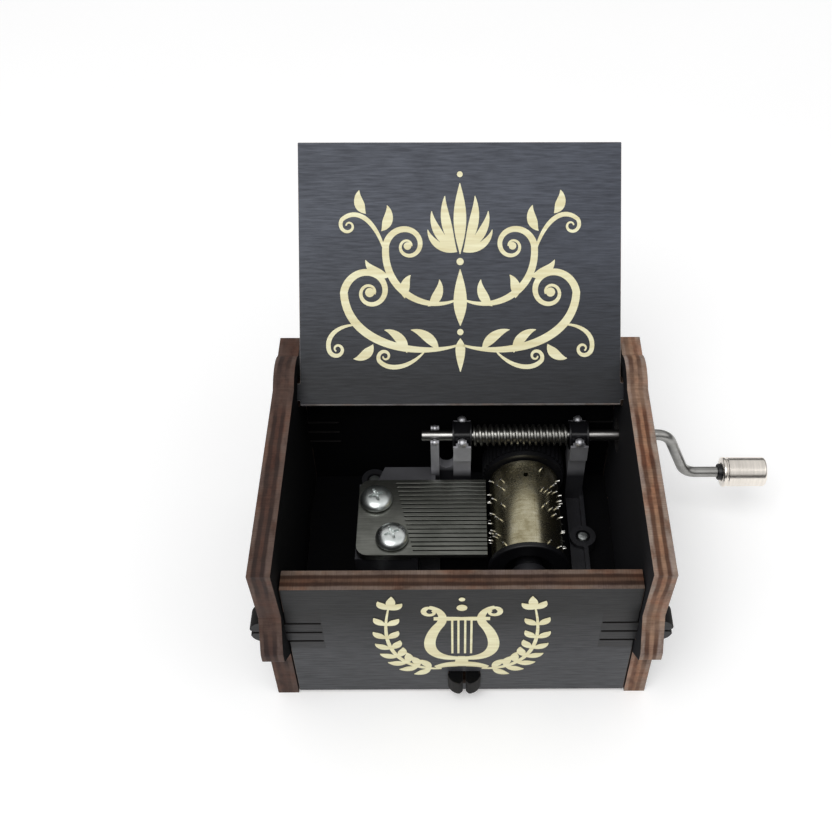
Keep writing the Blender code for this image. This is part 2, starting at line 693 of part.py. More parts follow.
def pinned_cylinder():
    """The rolled brass tube with its steel pins, about the cylinder's axis."""
    profile = [
        (CYLINDER_FRONT, BORE_RADIUS),
        (CYLINDER_FRONT, CYLINDER_RADIUS),
        (CYLINDER_BACK, CYLINDER_RADIUS),
        (CYLINDER_BACK, BORE_RADIUS),
    ]
    tube = turned("pinned_cylinder", profile, "Y", (0, 0, 0), brass(), 64)
    pins = bmesh.new()
    root = CYLINDER_RADIUS - CYLINDER_WALL / 2
    for track, angle in tune_pins():
        y = COMB_FRONT + TOOTH_PITCH * (track + 0.5)
        out = Vector((math.sin(angle), 0.0, math.cos(angle)))
        across = Vector((math.cos(angle), 0.0, -math.sin(angle)))
        rings = []
        for radius in (root, PIN_TIP_RADIUS):
            ring = []
            for k in range(PIN_FACES):
                turn = 2 * math.pi * k / PIN_FACES
                side = across * math.cos(turn) + Vector((0.0, 1.0, 0.0)) * math.sin(turn)
                ring.append(pins.verts.new(out * radius + Vector((0, y, 0)) + side * PIN_RADIUS))
            pins.faces.new(ring)
            rings.append(ring)
        for k in range(PIN_FACES):
            following = (k + 1) % PIN_FACES
            pins.faces.new((rings[0][k], rings[0][following], rings[1][following], rings[1][k]))
    join(tube, make_object("pins", pins, None))
    peg_y = CYLINDER_BACK - PEG_HOLE_INSET
    cut(tube, rod("peg_hole", PEG_HOLE_RADIUS, 0, 2 * CYLINDER_RADIUS, "Z", (0, peg_y, 0), 10))
    return tube


def end_cap():
    """The moulded plug in the cylinder's front end, with its turned recess."""
    hub = ARBOR_HOLE_RADIUS + CAP_HUB_WALL
    rim = SPIGOT_RADIUS - CAP_RIM_WALL
    profile = [
        (CAP_FRONT, ARBOR_HOLE_RADIUS),
        (CAP_FRONT, hub),
        (CAP_FRONT + CAP_RECESS, hub),
        (CAP_FRONT + CAP_RECESS, rim - CAP_DRAFT),
        (CAP_FRONT, rim),
        (CAP_FRONT, CAP_RADIUS - CAP_EDGE),
        (CAP_FRONT + CAP_EDGE, CAP_RADIUS),
        (CAP_BACK, CAP_RADIUS),
        (CAP_BACK, SPIGOT_RADIUS),
        (CAP_BACK + SPIGOT_LENGTH, SPIGOT_RADIUS),
        (CAP_BACK + SPIGOT_LENGTH, ARBOR_HOLE_RADIUS),
    ]
    return turned("cylinder_end_cap", profile, "Y", (0, 0, 0), dark_plastic(), 40)


def arbor():
    front = FRONT_BEARING - ARBOR_OVERRUN
    back = REAR_BEARING + BEARING_THICKNESS + ARBOR_OVERRUN
    profile = [
        (front, 0.0),
        (front, ARBOR_RADIUS - ARBOR_CHAMFER),
        (front + ARBOR_CHAMFER, ARBOR_RADIUS),
        (back - ARBOR_CHAMFER, ARBOR_RADIUS),
        (back, ARBOR_RADIUS - ARBOR_CHAMFER),
        (back, 0.0),
    ]
    return turned("cylinder_arbor", profile, "Y", (0, 0, 0), bright_steel(), 24)


def cylinder_assembly():
    axis = pivot("cylinder_axis", (CYLINDER_X, 0, AXIS_Z))
    pieces = (pinned_cylinder(), drive_gear(), end_cap(), arbor())
    for piece in pieces:
        smooth(piece)
    carry(axis, *pieces)


def worm():
    """The worm on the crankshaft: a right-hand thread whose crest meets the top tooth space."""
    left = LEFT_POST_X + BUSHING_REACH + RUNNING_GAP
    right = RIGHT_POST_X - BUSHING_REACH - RUNNING_GAP
    tip = WORM_PITCH_RADIUS + ADDENDUM
    root = WORM_PITCH_RADIUS - ADDENDUM - ROOT_CLEARANCE
    lean = math.tan(PRESSURE_ANGLE)
    thread = PITCH / 2 - TOOTH_BACKLASH / 2
    crest = thread / 2 - ADDENDUM * lean
    foot = thread / 2 + (ADDENDUM + ROOT_CLEARANCE) * lean
    section = ((-foot, root), (-crest, tip), (crest, tip), (foot, root))
    turns_left = math.ceil((CYLINDER_X - left) / PITCH) + 1
    turns_right = math.ceil((right - CYLINDER_X) / PITCH) + 1
    shape = bmesh.new()
    rows = []
    for step in range(-turns_left * WORM_STEPS, turns_right * WORM_STEPS + 1):
        angle = 2 * math.pi * step / WORM_STEPS - math.pi / 2
        middle = CYLINDER_X + PITCH * step / WORM_STEPS
        rows.append(
            [
                shape.verts.new((middle + dx, radius * math.cos(angle), radius * math.sin(angle)))
                for dx, radius in section
            ]
        )
    for k, row in enumerate(rows[:-1]):
        following = rows[k + 1]
        for side in range(3):
            shape.faces.new((row[side], row[side + 1], following[side + 1], following[side]))
        if k + 1 + WORM_STEPS < len(rows):
            next_turn = rows[k + WORM_STEPS]
            after = rows[k + 1 + WORM_STEPS]
            shape.faces.new((row[3], next_turn[0], after[0], following[3]))
    for place, side in ((left, -1), (right, 1)):
        geometry = shape.verts[:] + shape.edges[:] + shape.faces[:]
        bmesh.ops.bisect_plane(
            shape, geom=geometry, plane_co=(place, 0, 0), plane_no=(side, 0, 0), clear_outer=True
        )
    bmesh.ops.holes_fill(shape, edges=[edge for edge in shape.edges if edge.is_boundary])
    sleeve = make_object("worm", shape, bright_steel())
    bore = WIRE_RADIUS + WORM_BORE_CLEARANCE
    cut(sleeve, rod("worm_bore", bore, left - MM, right + MM, "X", (0, 0, 0)))
    return sleeve


def crankshaft():
    """One wire: straight through both posts and the case, then an S-bend down to the handle."""
    radius, slope = CRANK_BEND_RADIUS, CRANK_SLOPE
    upper = arc((BEND_START, -radius), radius, math.pi / 2, math.pi / 2 - slope, 7)
    lower_centre = (BEND_END, radius - CRANK_DROP)
    lower = arc(lower_centre, radius, -math.pi / 2 - slope, -math.pi / 2, 7)
    route = [(SHAFT_LEFT, 0.0)] + upper + lower + [(WIRE_END, -CRANK_DROP)]
    wire = bpy.data.curves.new("crankshaft", "CURVE")
    wire.dimensions = "3D"
    wire.bevel_depth = WIRE_RADIUS
    wire.bevel_resolution = 6
    wire.use_fill_caps = True
    line = wire.splines.new("POLY")
    line.points.add(len(route) - 1)
    for point, (x, z) in zip(line.points, route):
        point.co = (x, 0.0, z, 1.0)
    wire.materials.append(bright_steel())
    made = bpy.data.objects.new("crankshaft", wire)
    bpy.context.scene.collection.objects.link(made)
    return made


def knob():
    """The turned handle: a rolled rim, a straight barrel and a blind bore for the wire."""
    bore_end = KNOB_RIGHT - KNOB_END
    counterbore = KNOB_BUSH_RADIUS + FIT_GAP
    barrel = KNOB_RADIUS - KNOB_WAIST
    rim_end = KNOB_LEFT + KNOB_RIM
    profile = [
        (KNOB_LEFT + KNOB_BUSH_DEPTH, HANDLE_BORE_RADIUS),
        (KNOB_LEFT + KNOB_BUSH_DEPTH, counterbore),
        (KNOB_LEFT, counterbore),
        (KNOB_LEFT, KNOB_RADIUS - KNOB_RIM_EDGE),
        (KNOB_LEFT + KNOB_RIM_EDGE, KNOB_RADIUS),
        (rim_end - KNOB_RIM_EDGE, KNOB_RADIUS),
        (rim_end, KNOB_RADIUS - KNOB_GROOVE),
        (rim_end + KNOB_RIM_EDGE, barrel),
    ]
    end_centre = (KNOB_RIGHT - KNOB_END_ROUND, barrel - KNOB_END_ROUND)
    profile += arc(end_centre, KNOB_END_ROUND, math.pi / 2, 0.0, 4)
    profile += [
        (KNOB_RIGHT, 0.0),
        (bore_end, 0.0),
        (bore_end, HANDLE_BORE_RADIUS),
    ]
    handle = turned("crank_knob", profile, "X", (0, 0, 0), bright_steel(), 36)
    bush_profile = [
        (KNOB_LEFT - KNOB_BUSH_LIP, HANDLE_BORE_RADIUS),
        (KNOB_LEFT - KNOB_BUSH_LIP, KNOB_BUSH_RADIUS - KNOB_BUSH_EDGE),
        (KNOB_LEFT - KNOB_BUSH_LIP + KNOB_BUSH_EDGE, KNOB_BUSH_RADIUS),
        (KNOB_LEFT + KNOB_BUSH_DEPTH - FIT_GAP, KNOB_BUSH_RADIUS),
        (KNOB_LEFT + KNOB_BUSH_DEPTH - FIT_GAP, HANDLE_BORE_RADIUS),
    ]
    bush = turned("knob_bush", bush_profile, "X", (0, 0, 0), dark_plastic(), 32)
    return handle, bush


def crank_assembly():
    axis = pivot("crank_axis", (0, SHAFT_Y, SHAFT_Z))
    sleeve = worm()
    smooth(sleeve)
    carry(axis, crankshaft(), sleeve)
    handle_axis = pivot("knob_axis", (0, 0, -CRANK_DROP), axis)
    turning = knob()
    for piece in turning:
        smooth(piece)
    carry(handle_axis, *turning)


def bushing(name, x):
    """A plastic bearing, gripped by the fork of its post between two thin flanges."""
    half_width = FORK_GAP / 2 - FIT_GAP
    low = (x - BUSHING_REACH, SHAFT_Y - half_width, SHAFT_Z - BUSHING_HEIGHT / 2)
    high = (x + BUSHING_REACH, SHAFT_Y + half_width, SHAFT_Z + BUSHING_HEIGHT / 2)
    outline = rounded_rectangle(low[1:], high[1:], BUSHING_CORNER)
    piece = prism(name, outline, low[0], high[0], "X", dark_plastic())
    centre = (0, SHAFT_Y, SHAFT_Z)
    for side in (-1, 1):
        far = x + side * BUSHING_REACH
        ends = sorted((far - side * BUSHING_FLANGE, far))
        join(piece, rod("flange", BUSHING_FLANGE_RADIUS, *ends, "X", centre))
    cut(piece, rod("bore", WIRE_RADIUS + RUNNING_GAP, low[0] - MM, high[0] + MM, "X", centre))
    smooth(piece)
    return piece


def arm_tip(inner, outer, top):
    """The rounded end of an upright arm, from its outer face over to its inner face."""
    radius = (outer - inner) / 2
    return arc((inner + radius, top - radius), radius, 0.0, math.pi, 6)


def fork_outline(foot):
    """A post seen along the shaft: a waisted stem and two arms with rounded tips."""
    inner = FORK_GAP / 2
    outer = inner + FORK_ARM
    stem = outer - STEM_WAIST
    valley = SHAFT_Z - BUSHING_HEIGHT / 2 - FIT_GAP
    shoulder = valley - SHOULDER_DROP
    right = [(stem, foot), (stem, shoulder), (outer, shoulder + SHOULDER_SLOPE)]
    right += arm_tip(inner, outer, SHAFT_Z + FORK_RISE)
    right += [(inner, valley)]
    left = [(-y, z) for y, z in reversed(right)]
    return [(SHAFT_Y + y, z) for y, z in right + left]


def fork_post(x):
    """A forked post: seats for its bushing's flanges in both faces, and narrow tips."""
    post = prism("post", fork_outline(BED_UNDER), x - POST_WIDTH / 2, x + POST_WIDTH / 2, "X")
    deep = FORK_GAP / 2 + FORK_ARM + MM
    tools = []
    for side in (-1, 1):
        seat = sorted((x + side * POST_WEB, x + side * POST_WIDTH))
        tools.append(rod("flange_seat", BUSHING_FLANGE_RADIUS + FIT_GAP, *seat, "X", (0, SHAFT_Y, SHAFT_Z)))
        beside = sorted((x + side * FORK_TIP_WIDTH / 2, x + side * POST_WIDTH))
        low = (beside[0], SHAFT_Y - deep, SHAFT_Z + FORK_TIP_FROM_AXIS)
        high = (beside[1], SHAFT_Y + deep, SHAFT_Z + FORK_RISE + MM)
        tools.append(block("beside_tips", low, high))
    cut(post, *tools)
    return post


def comb_seat():
    """The raised table under the comb, with a ledge that runs behind it to the end post."""
    outline = [
        (BED_LEFT, SEAT_FRONT),
        (SEAT_RIGHT, SEAT_FRONT),
        (SEAT_RIGHT, SEAT_BACK),
        (LEDGE_RIGHT, SEAT_BACK),
        (LEDGE_RIGHT, LEDGE_BACK),
        (LEDGE_LEFT, LEDGE_BACK),
        (LEDGE_LEFT - LEDGE_SLANT, SEAT_BACK),
        (BED_LEFT, SEAT_BACK),
    ]
    return prism("comb_seat", outline, BED_UNDER, SEAT_TOP, "Z")


def seat_hollows():
    """What is cleared from the casting's underside: below the comb seat and below its ledge."""
    seat_low = (BED_LEFT + SEAT_WALL, SEAT_FRONT + SEAT_WALL, BED_UNDER - MM)
    seat_high = (SEAT_RIGHT - SEAT_WALL, SEAT_BACK - SEAT_WALL, SEAT_TOP - SEAT_SCREW_WALL)
    ledge_low = (LEDGE_LEFT + SEAT_WALL, SEAT_BACK, BED_UNDER - MM)
    ledge_high = (LEDGE_RIGHT - SEAT_WALL, LEDGE_BACK - SEAT_WALL, SEAT_TOP - SEAT_WALL)
    return block("seat_hollow", seat_low, seat_high), block("ledge_hollow", ledge_low, ledge_high)


def end_post():
    """The flat post at the shaft's far end, tied to the left post by a curved web."""
    inner = WIRE_RADIUS + RUNNING_GAP
    outer = inner + SADDLE_ARM
    right = [(outer, BED_UNDER)]
    right += arm_tip(inner, outer, SHAFT_Z + SADDLE_RISE)
    right += arc((0.0, SHAFT_Z), inner, 0.0, -math.pi / 2, 5)[:-1]
    left = [(-y, z) for y, z in reversed(right)]
    outline = [(SHAFT_Y + y, z) for y, z in right + [(0.0, SHAFT_Z - inner)] + left]
    low, high = END_POST_X - END_POST_WIDTH / 2, END_POST_X + END_POST_WIDTH / 2
    post = prism("end_post", outline, low, high, "X")
    start = high - FUSE
    end = LEFT_POST_X - POST_WIDTH / 2 + FUSE
    web_top = SEAT_TOP + WEB_ABOVE_SEAT
    dip = (end - high) / 2 - FUSE / 2
    web = [(start, BED_UNDER), (end, BED_UNDER), (end, web_top)]
    web += arc(((high + end - FUSE) / 2, web_top), dip, 0.0, -math.pi, 8)
    web += [(start, web_top)]
    join(post, prism("web", web, SHAFT_Y - WEB_THICKNESS / 2, SHAFT_Y + WEB_THICKNESS / 2, "Y"))
    return post


def bearing_plate(name, front_face):
    """An upright with an arched top that carries one end of the arbor."""
    half = BEARING_HALF_WIDTH
    outline = [(CYLINDER_X - half - MM, BED_UNDER), (CYLINDER_X + half + MM, BED_UNDER)]
    outline += arc((CYLINDER_X, AXIS_Z), half, 0.0, math.pi, 12)
    return prism(name, outline, front_face, front_face + BEARING_THICKNESS, "Y")


def bedplate():
    """The die-cast frame: base, comb seat, shaft posts, arbor bearings and screw lugs in one."""
    outline = rounded_rectangle((BED_LEFT, BED_FRONT), (BED_RIGHT, BED_BACK), BED_CORNER)
    bed = prism("bedplate", outline, BED_UNDER, BED_TOP, "Z", cast_metal())
    swing = max(GEAR_PITCH_RADIUS + ADDENDUM, PIN_TIP_RADIUS, CAP_RADIUS) + WINDOW_GAP
    window_low = (CYLINDER_X - swing, CAP_FRONT - BEARING_GAP, BED_UNDER - MM)
    window_high = (CYLINDER_X + swing, GEAR_BACK + BEARING_GAP, BED_TOP + MM)
    teeth_low = (TOOTH_WINDOW_LEFT, CAP_FRONT - BEARING_GAP, BED_UNDER - MM)
    teeth_high = (CYLINDER_X, SEAT_BACK, BED_TOP + MM)
    cut(bed, block("cylinder_window", window_low, window_high), block("tooth_window", teeth_low, teeth_high))
    lugs = []
    holes = []
    for x, y, height in LUGS.values():
        lugs.append(rod("lug", LUG_RADIUS, BED_UNDER, BED_UNDER + height, "Z", (x, y, 0)))
        holes.append(rod("lug_hole", SCREW_RADIUS + THREAD_GAP, 0, SHAFT_Z, "Z", (x, y, 0), 20))
    for x, y in COMB_SCREWS:
        ends = (SEAT_TOP - COMB_SCREW_LENGTH, SHAFT_Z)
        holes.append(rod("seat_hole", SCREW_RADIUS + FIT_GAP, *ends, "Z", (x, y, 0), 20))
    ends = (BED_FRONT - MM, BED_BACK + MM)
    holes.append(rod("arbor_bore", ARBOR_HOLE_RADIUS, *ends, "Y", (CYLINDER_X, 0, AXIS_Z)))
    rim_low = (BED_RIGHT - RIM_WIDTH, BED_FRONT + BED_CORNER, BED_UNDER)
    rim_high = (BED_RIGHT, BED_BACK - BED_CORNER, BED_TOP + RIM_HEIGHT)
    posts = (fork_post(LEFT_POST_X), fork_post(RIGHT_POST_X), end_post())
    join(bed, block("rim", rim_low, rim_high), comb_seat(), *posts, *lugs)
    join(bed, bearing_plate("front_bearing", FRONT_BEARING), bearing_plate("rear_bearing", REAR_BEARING))
    cut(bed, *seat_hollows(), *holes)
    smooth(bed)
    return bed


def tooth_root(track):
    """Where a tooth's slit ends: bass teeth, at the back, are the longest."""
    share = track / (COMB_TEETH - 1)
    return COMB_TIP - (TREBLE_TOOTH_LENGTH + (BASS_TOOTH_LENGTH - TREBLE_TOOTH_LENGTH) * share)


def comb():
    """The steel comb, sawn into teeth that get longer towards the bass end."""
    outline = []
    corners = [(COMB_LEFT, COMB_BACK), (COMB_LEFT, COMB_FRONT)]
    outline += rounded(corners[0], (COMB_TIP, COMB_BACK), corners[1], COMB_CORNER)
    outline += rounded(corners[1], corners[0], (COMB_TIP, COMB_FRONT), COMB_CORNER)
    outline.append((COMB_TIP, COMB_FRONT))
    for track in range(1, COMB_TEETH):
        y = COMB_FRONT + TOOTH_PITCH * track
        root = tooth_root(track)
        for x, side in ((COMB_TIP, -1), (root, -1), (root, 1), (COMB_TIP, 1)):
            outline.append((x, y + side * TOOTH_SLIT / 2))
    outline.append((COMB_TIP, COMB_BACK))
    plate = prism("comb", outline, COMB_UNDER, COMB_TOP, "Z", comb_steel())
    shoulder_front = tooth_root(0) - RELIEF_BEFORE_SLITS
    shoulder_back = tooth_root(COMB_TEETH - 1) - RELIEF_BEFORE_SLITS
    relief = [
        (shoulder_front, COMB_FRONT - MM),
        (COMB_TIP + MM, COMB_FRONT - MM),
        (COMB_TIP + MM, COMB_BACK + MM),
        (shoulder_back, COMB_BACK + MM),
    ]
    cut(plate, prism("tooth_relief", relief, COMB_UNDER - MM, COMB_TOP - TOOTH_THICKNESS, "Z"))
    for x, y in COMB_SCREWS:
        ends = (COMB_UNDER - MM, COMB_TOP + MM)
        cut(plate, rod("screw_hole", SCREW_RADIUS + FIT_GAP, *ends, "Z", (x, y, 0), 20))
    return plate


def screw(name, x, y, head_face, length, up):
    """A domed, slotted screw. `head_face` is where its head seats; it points down or `up`."""
    way = 1 if up else -1
    base = head_face
    end = base + way * length
    edge = base - way * SCREW_HEAD_EDGE
    top = base - way * SCREW_HEAD_HEIGHT
    radius = SCREW_HEAD_RADIUS
    profile = [
        (end, 0.0),
        (end, SCREW_RADIUS / 2),
        (end - way * SCREW_TIP, SCREW_RADIUS),
        (base, SCREW_RADIUS),
        (base, radius),
        (edge, radius),
        (edge - way * SCREW_DOME_STEP, radius - SCREW_DOME_INSET),
        (top, radius / 3),
        (top, 0.0),
    ]
    piece = turned(name, profile, "Z", (x, y, 0), bright_steel(), 24)
    low, high = sorted((top - way * MM, top + way * SCREW_SLOT_DEPTH))
    half = SCREW_SLOT / 2
    cut(piece, block("slot", (x - radius - MM, y - half, low), (x + radius + MM, y + half, high)))
    smooth(piece)
    return piece


def movement_screws():
    for k, (x, y) in enumerate(COMB_SCREWS):
        screw(("rear_comb_screw", "front_comb_screw")[k], x, y, COMB_TOP + FIT_GAP, COMB_SCREW_LENGTH, False)
    for side, (x, y, height) in LUGS.items():
        length = PLY + 2 * FIT_GAP + height
        screw(side + "_mounting_screw", x, y, FLOOR_RAISE - FIT_GAP, length, True)


def build():
    clear_scene()
    side_panel("left_side_panel", -SIDE_INNER, -SIDE_OUTER)
    crank_side_panel()
    wall_panel("front_panel", FRONT_OUTER, FRONT_RAISE, FRONT_HEIGHT)
    wall_panel("back_panel", BACK_INNER, 0.0, BACK_HEIGHT)
    floor_panel()
    lid()
    bedplate()
    comb()
    movement_screws()
    bushing("left_bushing", LEFT_POST_X)
    bushing("right_bushing", RIGHT_POST_X)
    cylinder_assembly()
    crank_assembly()


build()
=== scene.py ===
import json
import math

import bmesh
import bpy
from mathutils import Euler, Matrix, Vector
from mathutils.geometry import interpolate_bezier


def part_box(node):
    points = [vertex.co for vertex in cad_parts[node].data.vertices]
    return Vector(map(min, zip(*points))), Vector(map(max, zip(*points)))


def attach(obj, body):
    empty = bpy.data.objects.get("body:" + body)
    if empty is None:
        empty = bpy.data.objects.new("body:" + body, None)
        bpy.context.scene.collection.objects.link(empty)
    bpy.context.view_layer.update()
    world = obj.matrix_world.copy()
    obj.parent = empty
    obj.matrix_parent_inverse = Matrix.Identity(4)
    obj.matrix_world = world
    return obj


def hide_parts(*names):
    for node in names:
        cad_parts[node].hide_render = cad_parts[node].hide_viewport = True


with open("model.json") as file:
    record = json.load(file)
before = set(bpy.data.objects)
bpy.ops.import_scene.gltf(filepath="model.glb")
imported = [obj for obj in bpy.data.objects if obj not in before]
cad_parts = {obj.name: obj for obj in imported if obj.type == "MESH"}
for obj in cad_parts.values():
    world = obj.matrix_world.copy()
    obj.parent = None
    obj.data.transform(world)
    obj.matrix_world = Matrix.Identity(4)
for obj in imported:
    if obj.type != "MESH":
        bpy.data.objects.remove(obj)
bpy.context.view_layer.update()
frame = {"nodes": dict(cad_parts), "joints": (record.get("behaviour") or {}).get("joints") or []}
nodes = frame["nodes"]
mm = 0.001
print("movement and case loaded:", len(nodes), "nodes")


# small tools for working on one piece at a time

def jointPlace(name):
    return next(joint["pos_m"] for joint in frame["joints"] if joint["name"] == name)


def pickOnly(piece):
    bpy.ops.object.select_all(action="DESELECT")
    piece.select_set(True)
    bpy.context.view_layer.objects.active = piece


def nameIt(name):
    piece = bpy.context.object
    piece.name = name
    piece.data.name = name
    return piece


def startPiece(name, add, **settings):
    bpy.ops.object.select_all(action="DESELECT")
    add(**settings)
    return nameIt(name)


def settle(piece):
    pickOnly(piece)
    bpy.ops.object.transform_apply(location=True, rotation=True, scale=True)


def applyModifiers(piece):
    pickOnly(piece)
    for modifier in list(piece.modifiers):
        bpy.ops.object.modifier_apply(modifier=modifier.name)


def openForEditing(piece):
    pickOnly(piece)
    bpy.ops.object.mode_set(mode="EDIT")
    bpy.ops.mesh.select_all(action="SELECT")


def closeEditing():
    bpy.ops.object.mode_set(mode="OBJECT")


def roundEdges(piece, width, segments, sharperThan):
    bevel = piece.modifiers.new("rounding", "BEVEL")
    bevel.width = width
    bevel.segments = segments
    bevel.limit_method = "ANGLE"
    bevel.angle_limit = math.radians(sharperThan)
    bevel.miter_outer = "MITER_ARC"
    applyModifiers(piece)


def shadeRound(piece, angle=35):
    # smooth rounded edges, with the flats between them left flat
    pickOnly(piece)
    bpy.ops.object.shade_smooth_by_angle(angle=math.radians(angle))
    flats = piece.modifiers.new("flats", "WEIGHTED_NORMAL")
    flats.keep_sharp = True
    applyModifiers(piece)


def cutAway(piece, tool):
    cut = piece.modifiers.new("cut", "BOOLEAN")
    cut.operation = "DIFFERENCE"
    cut.solver = "EXACT"
    cut.object = tool
    applyModifiers(piece)
    bpy.data.objects.remove(tool, do_unlink=True)


def joinPieces(pieces, name):
    bpy.ops.object.select_all(action="DESELECT")
    for piece in pieces:
        piece.select_set(True)
    bpy.context.view_layer.objects.active = pieces[0]
    if len(pieces) > 1:
        bpy.ops.object.join()
    return nameIt(name)


def copyNode(node, name):
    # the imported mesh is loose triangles, so its doubles are merged and its flat faces made whole
    piece = bpy.data.objects.new(name, nodes[node].data.copy())
    piece.data.name = name
    bpy.context.scene.collection.objects.link(piece)
    pickOnly(piece)
    bpy.ops.mesh.customdata_custom_splitnormals_clear()
    openForEditing(piece)
    bpy.ops.mesh.remove_doubles(threshold=0.002 * mm)
    bpy.ops.mesh.dissolve_limited(angle_limit=math.radians(0.5))
    closeEditing()
    piece.data.materials.clear()
    return piece


def axisPoint(axis, along, u, v):
    if axis == "X":
        return Vector((along, u, v))
    if axis == "Y":
        return Vector((u, along, v))
    return Vector((u, v, along))


def turnPiece(name, profile, axis, centre, steps):
    # a closed profile of (along, radius) points, spun about the axis through centre
    piece = startPiece(name, bpy.ops.mesh.primitive_circle_add, vertices=len(profile), radius=mm)
    settle(piece)
    for vertex, (along, radius) in zip(piece.data.vertices, profile):
        vertex.co = axisPoint(axis, along, radius, 0.0) + Vector(centre)
    openForEditing(piece)
    bpy.ops.mesh.spin(
        steps=steps, angle=2 * math.pi, center=centre, axis=axisPoint(axis, 1.0, 0.0, 0.0)
    )
    bpy.ops.mesh.select_all(action="SELECT")
    bpy.ops.mesh.remove_doubles(threshold=0.001 * mm)
    bpy.ops.mesh.delete_loose(use_verts=True, use_edges=True, use_faces=False)
    bpy.ops.mesh.select_all(action="SELECT")
    bpy.ops.mesh.normals_make_consistent(inside=False)
    closeEditing()
    return piece


def finishPiece(piece, body, material, replaced=()):
    piece.data.materials.clear()
    piece.data.materials.append(material)
    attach(piece, body)
    for node in replaced:
        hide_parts(node)


def trimNode(node, name, body, material, edge, segments=2, sharperThan=40):
    # the solid itself, with its sharp edges just broken
    piece = copyNode(node, name)
    roundEdges(piece, edge, segments, sharperThan)
    shadeRound(piece)
    finishPiece(piece, body, material, [node])


# finishes

def tint(red, green, blue):
    # screen values of 0 to 255, as linear light
    def linear(value):
        share = value / 255
        return share / 12.92 if share <= 0.04045 else ((share + 0.055) / 1.055) ** 2.4
    return (linear(red), linear(green), linear(blue), 1.0)


def newMaterial(name):
    material = bpy.data.materials.new(name)
    material.use_nodes = True
    tree = material.node_tree
    return material, tree, tree.nodes["Principled BSDF"]


def addNode(tree, kind, inputs=None, **settings):
    node = tree.nodes.new(kind)
    for key, value in settings.items():
        setattr(node, key, value)
    for key, value in (inputs or {}).items():
        if isinstance(value, bpy.types.NodeSocket):
            tree.links.new(value, node.inputs[key])
        else:
            node.inputs[key].default_value = value
    return node


def grey(value):
    return (value, value, value, 1.0)


def addRamp(tree, factor, stops):
    node = addNode(tree, "ShaderNodeValToRGB", {"Fac": factor})
    ramp = node.color_ramp
    while len(ramp.elements) < len(stops):
        ramp.elements.new(0.5)
    for element, (place, colour) in zip(ramp.elements, stops):
        element.position = place
    for element, (place, colour) in zip(ramp.elements, stops):
        element.color = colour
    return node.outputs["Color"]


def twoTone(tree, factor, first, second, places=(0.3, 0.7)):
    return addRamp(tree, factor, list(zip(places, (first, second))))


def addMath(tree, operation, first, second=0.0, third=0.0):
    return addNode(tree, "ShaderNodeMath", {0: first, 1: second, 2: third}, operation=operation).outputs[0]


def weighed(tree, first, second, share):
    # the share of the first, and the rest of the second
    rest = addMath(tree, "MULTIPLY", second, 1 - share)
    return addMath(tree, "ADD", addMath(tree, "MULTIPLY", first, share), rest)


def axisOf(tree, vector, axis):
    return addNode(tree, "ShaderNodeSeparateXYZ", {"Vector": vector}).outputs[axis]


def mixColours(tree, share, first, second, blend="MIX"):
    inputs = {0: share, 6: first, 7: second}
    return addNode(tree, "ShaderNodeMix", inputs, data_type="RGBA", blend_type=blend).outputs[2]


def mixValues(tree, share, first, second):
    return addNode(tree, "ShaderNodeMix", {0: share, 2: first, 3: second}, data_type="FLOAT").outputs[0]


def stretchedNoise(tree, vector, stretch, detail=3.0, roughness=0.55):
    # noise with a feature about one over the stretch long on each axis
    spread = addNode(tree, "ShaderNodeMapping", {"Vector": vector, "Scale": stretch})
    noise = addNode(
        tree,
        "ShaderNodeTexNoise",
        {"Vector": spread.outputs[0], "Scale": 1.0, "Detail": detail, "Roughness": roughness},
    )
    return noise.outputs["Fac"]


def addBump(tree, shader, height, distance):
    bump = addNode(tree, "ShaderNodeBump", {"Height": height, "Distance": distance, "Strength": 1.0})
    tree.links.new(bump.outputs["Normal"], shader.inputs["Normal"])


plySheet = {
    "thickness": 3.6 * mm,
    "faceSkin": 0.02 * mm,
    "relief": 0.035 * mm,
    "burnt": tint(15, 12, 11),
    # the veneers of the edge, by their share of the thickness, and what makes them uneven
    "bands": (
        (0.0, "light"), (0.14, "light"), (0.22, "dark"), (0.35, "dark"), (0.43, "core"),
        (0.54, "core"), (0.6, "dark"), (0.72, "dark"), (0.8, "light"), (1.0, "light"),
    ),
    "bandWander": {"stretch": (110, 110, 300), "roughness": 0.6},
    "lightInFaded": 0.35,
    "fadedPatches": {"stretch": (120, 120, 40), "roughness": 0.6},
    "fadedPlaces": (0.45, 0.62),
    "hue": {"stretch": (170, 170, 250), "roughness": 0.6},
    "warmToCool": ((0.32, (1.16, 0.9, 0.78, 1)), (0.5, grey(1)), (0.68, (0.94, 0.95, 1.05, 1))),
    "scorch": {"stretch": (260, 260, 500), "detail": 4.0, "roughness": 0.65},
    "charToClean": ((0.3, (0.5, 0.42, 0.38, 1)), (0.5, (0.88, 0.84, 0.82, 1)), (0.72, (1.1, 1.08, 1.05, 1))),
    "strokes": {"stretch": (5200, 5200, 260), "detail": 2.0},
    "strokeTones": ((0.35, (0.7, 0.66, 0.62, 1)), (0.6, grey(1))),
    "strokeShare": 0.75,
    "edgeRoughness": 0.8,
    # the faces, whose fine grain catches the light
    "grain": {"stretch": (240, 2600, 900), "detail": 5.0, "roughness": 0.62},
    "cloud": {"stretch": (45, 110, 60)},
    "grainShare": 0.75,
    "grainPlaces": (0.36, 0.62),
    "faceRoughness": (grey(0.5), grey(0.36)),
    # painted shade on the faces inside the box: darkest where they stand deep in shade, lighter and bluer on
    # the right wall, which the light reaches
    "inside": {"black": (tint(1, 1, 2), tint(4, 4, 6)), "dim": (tint(13, 13, 17), tint(21, 21, 27))},
    "insideRoughness": 0.75,
}


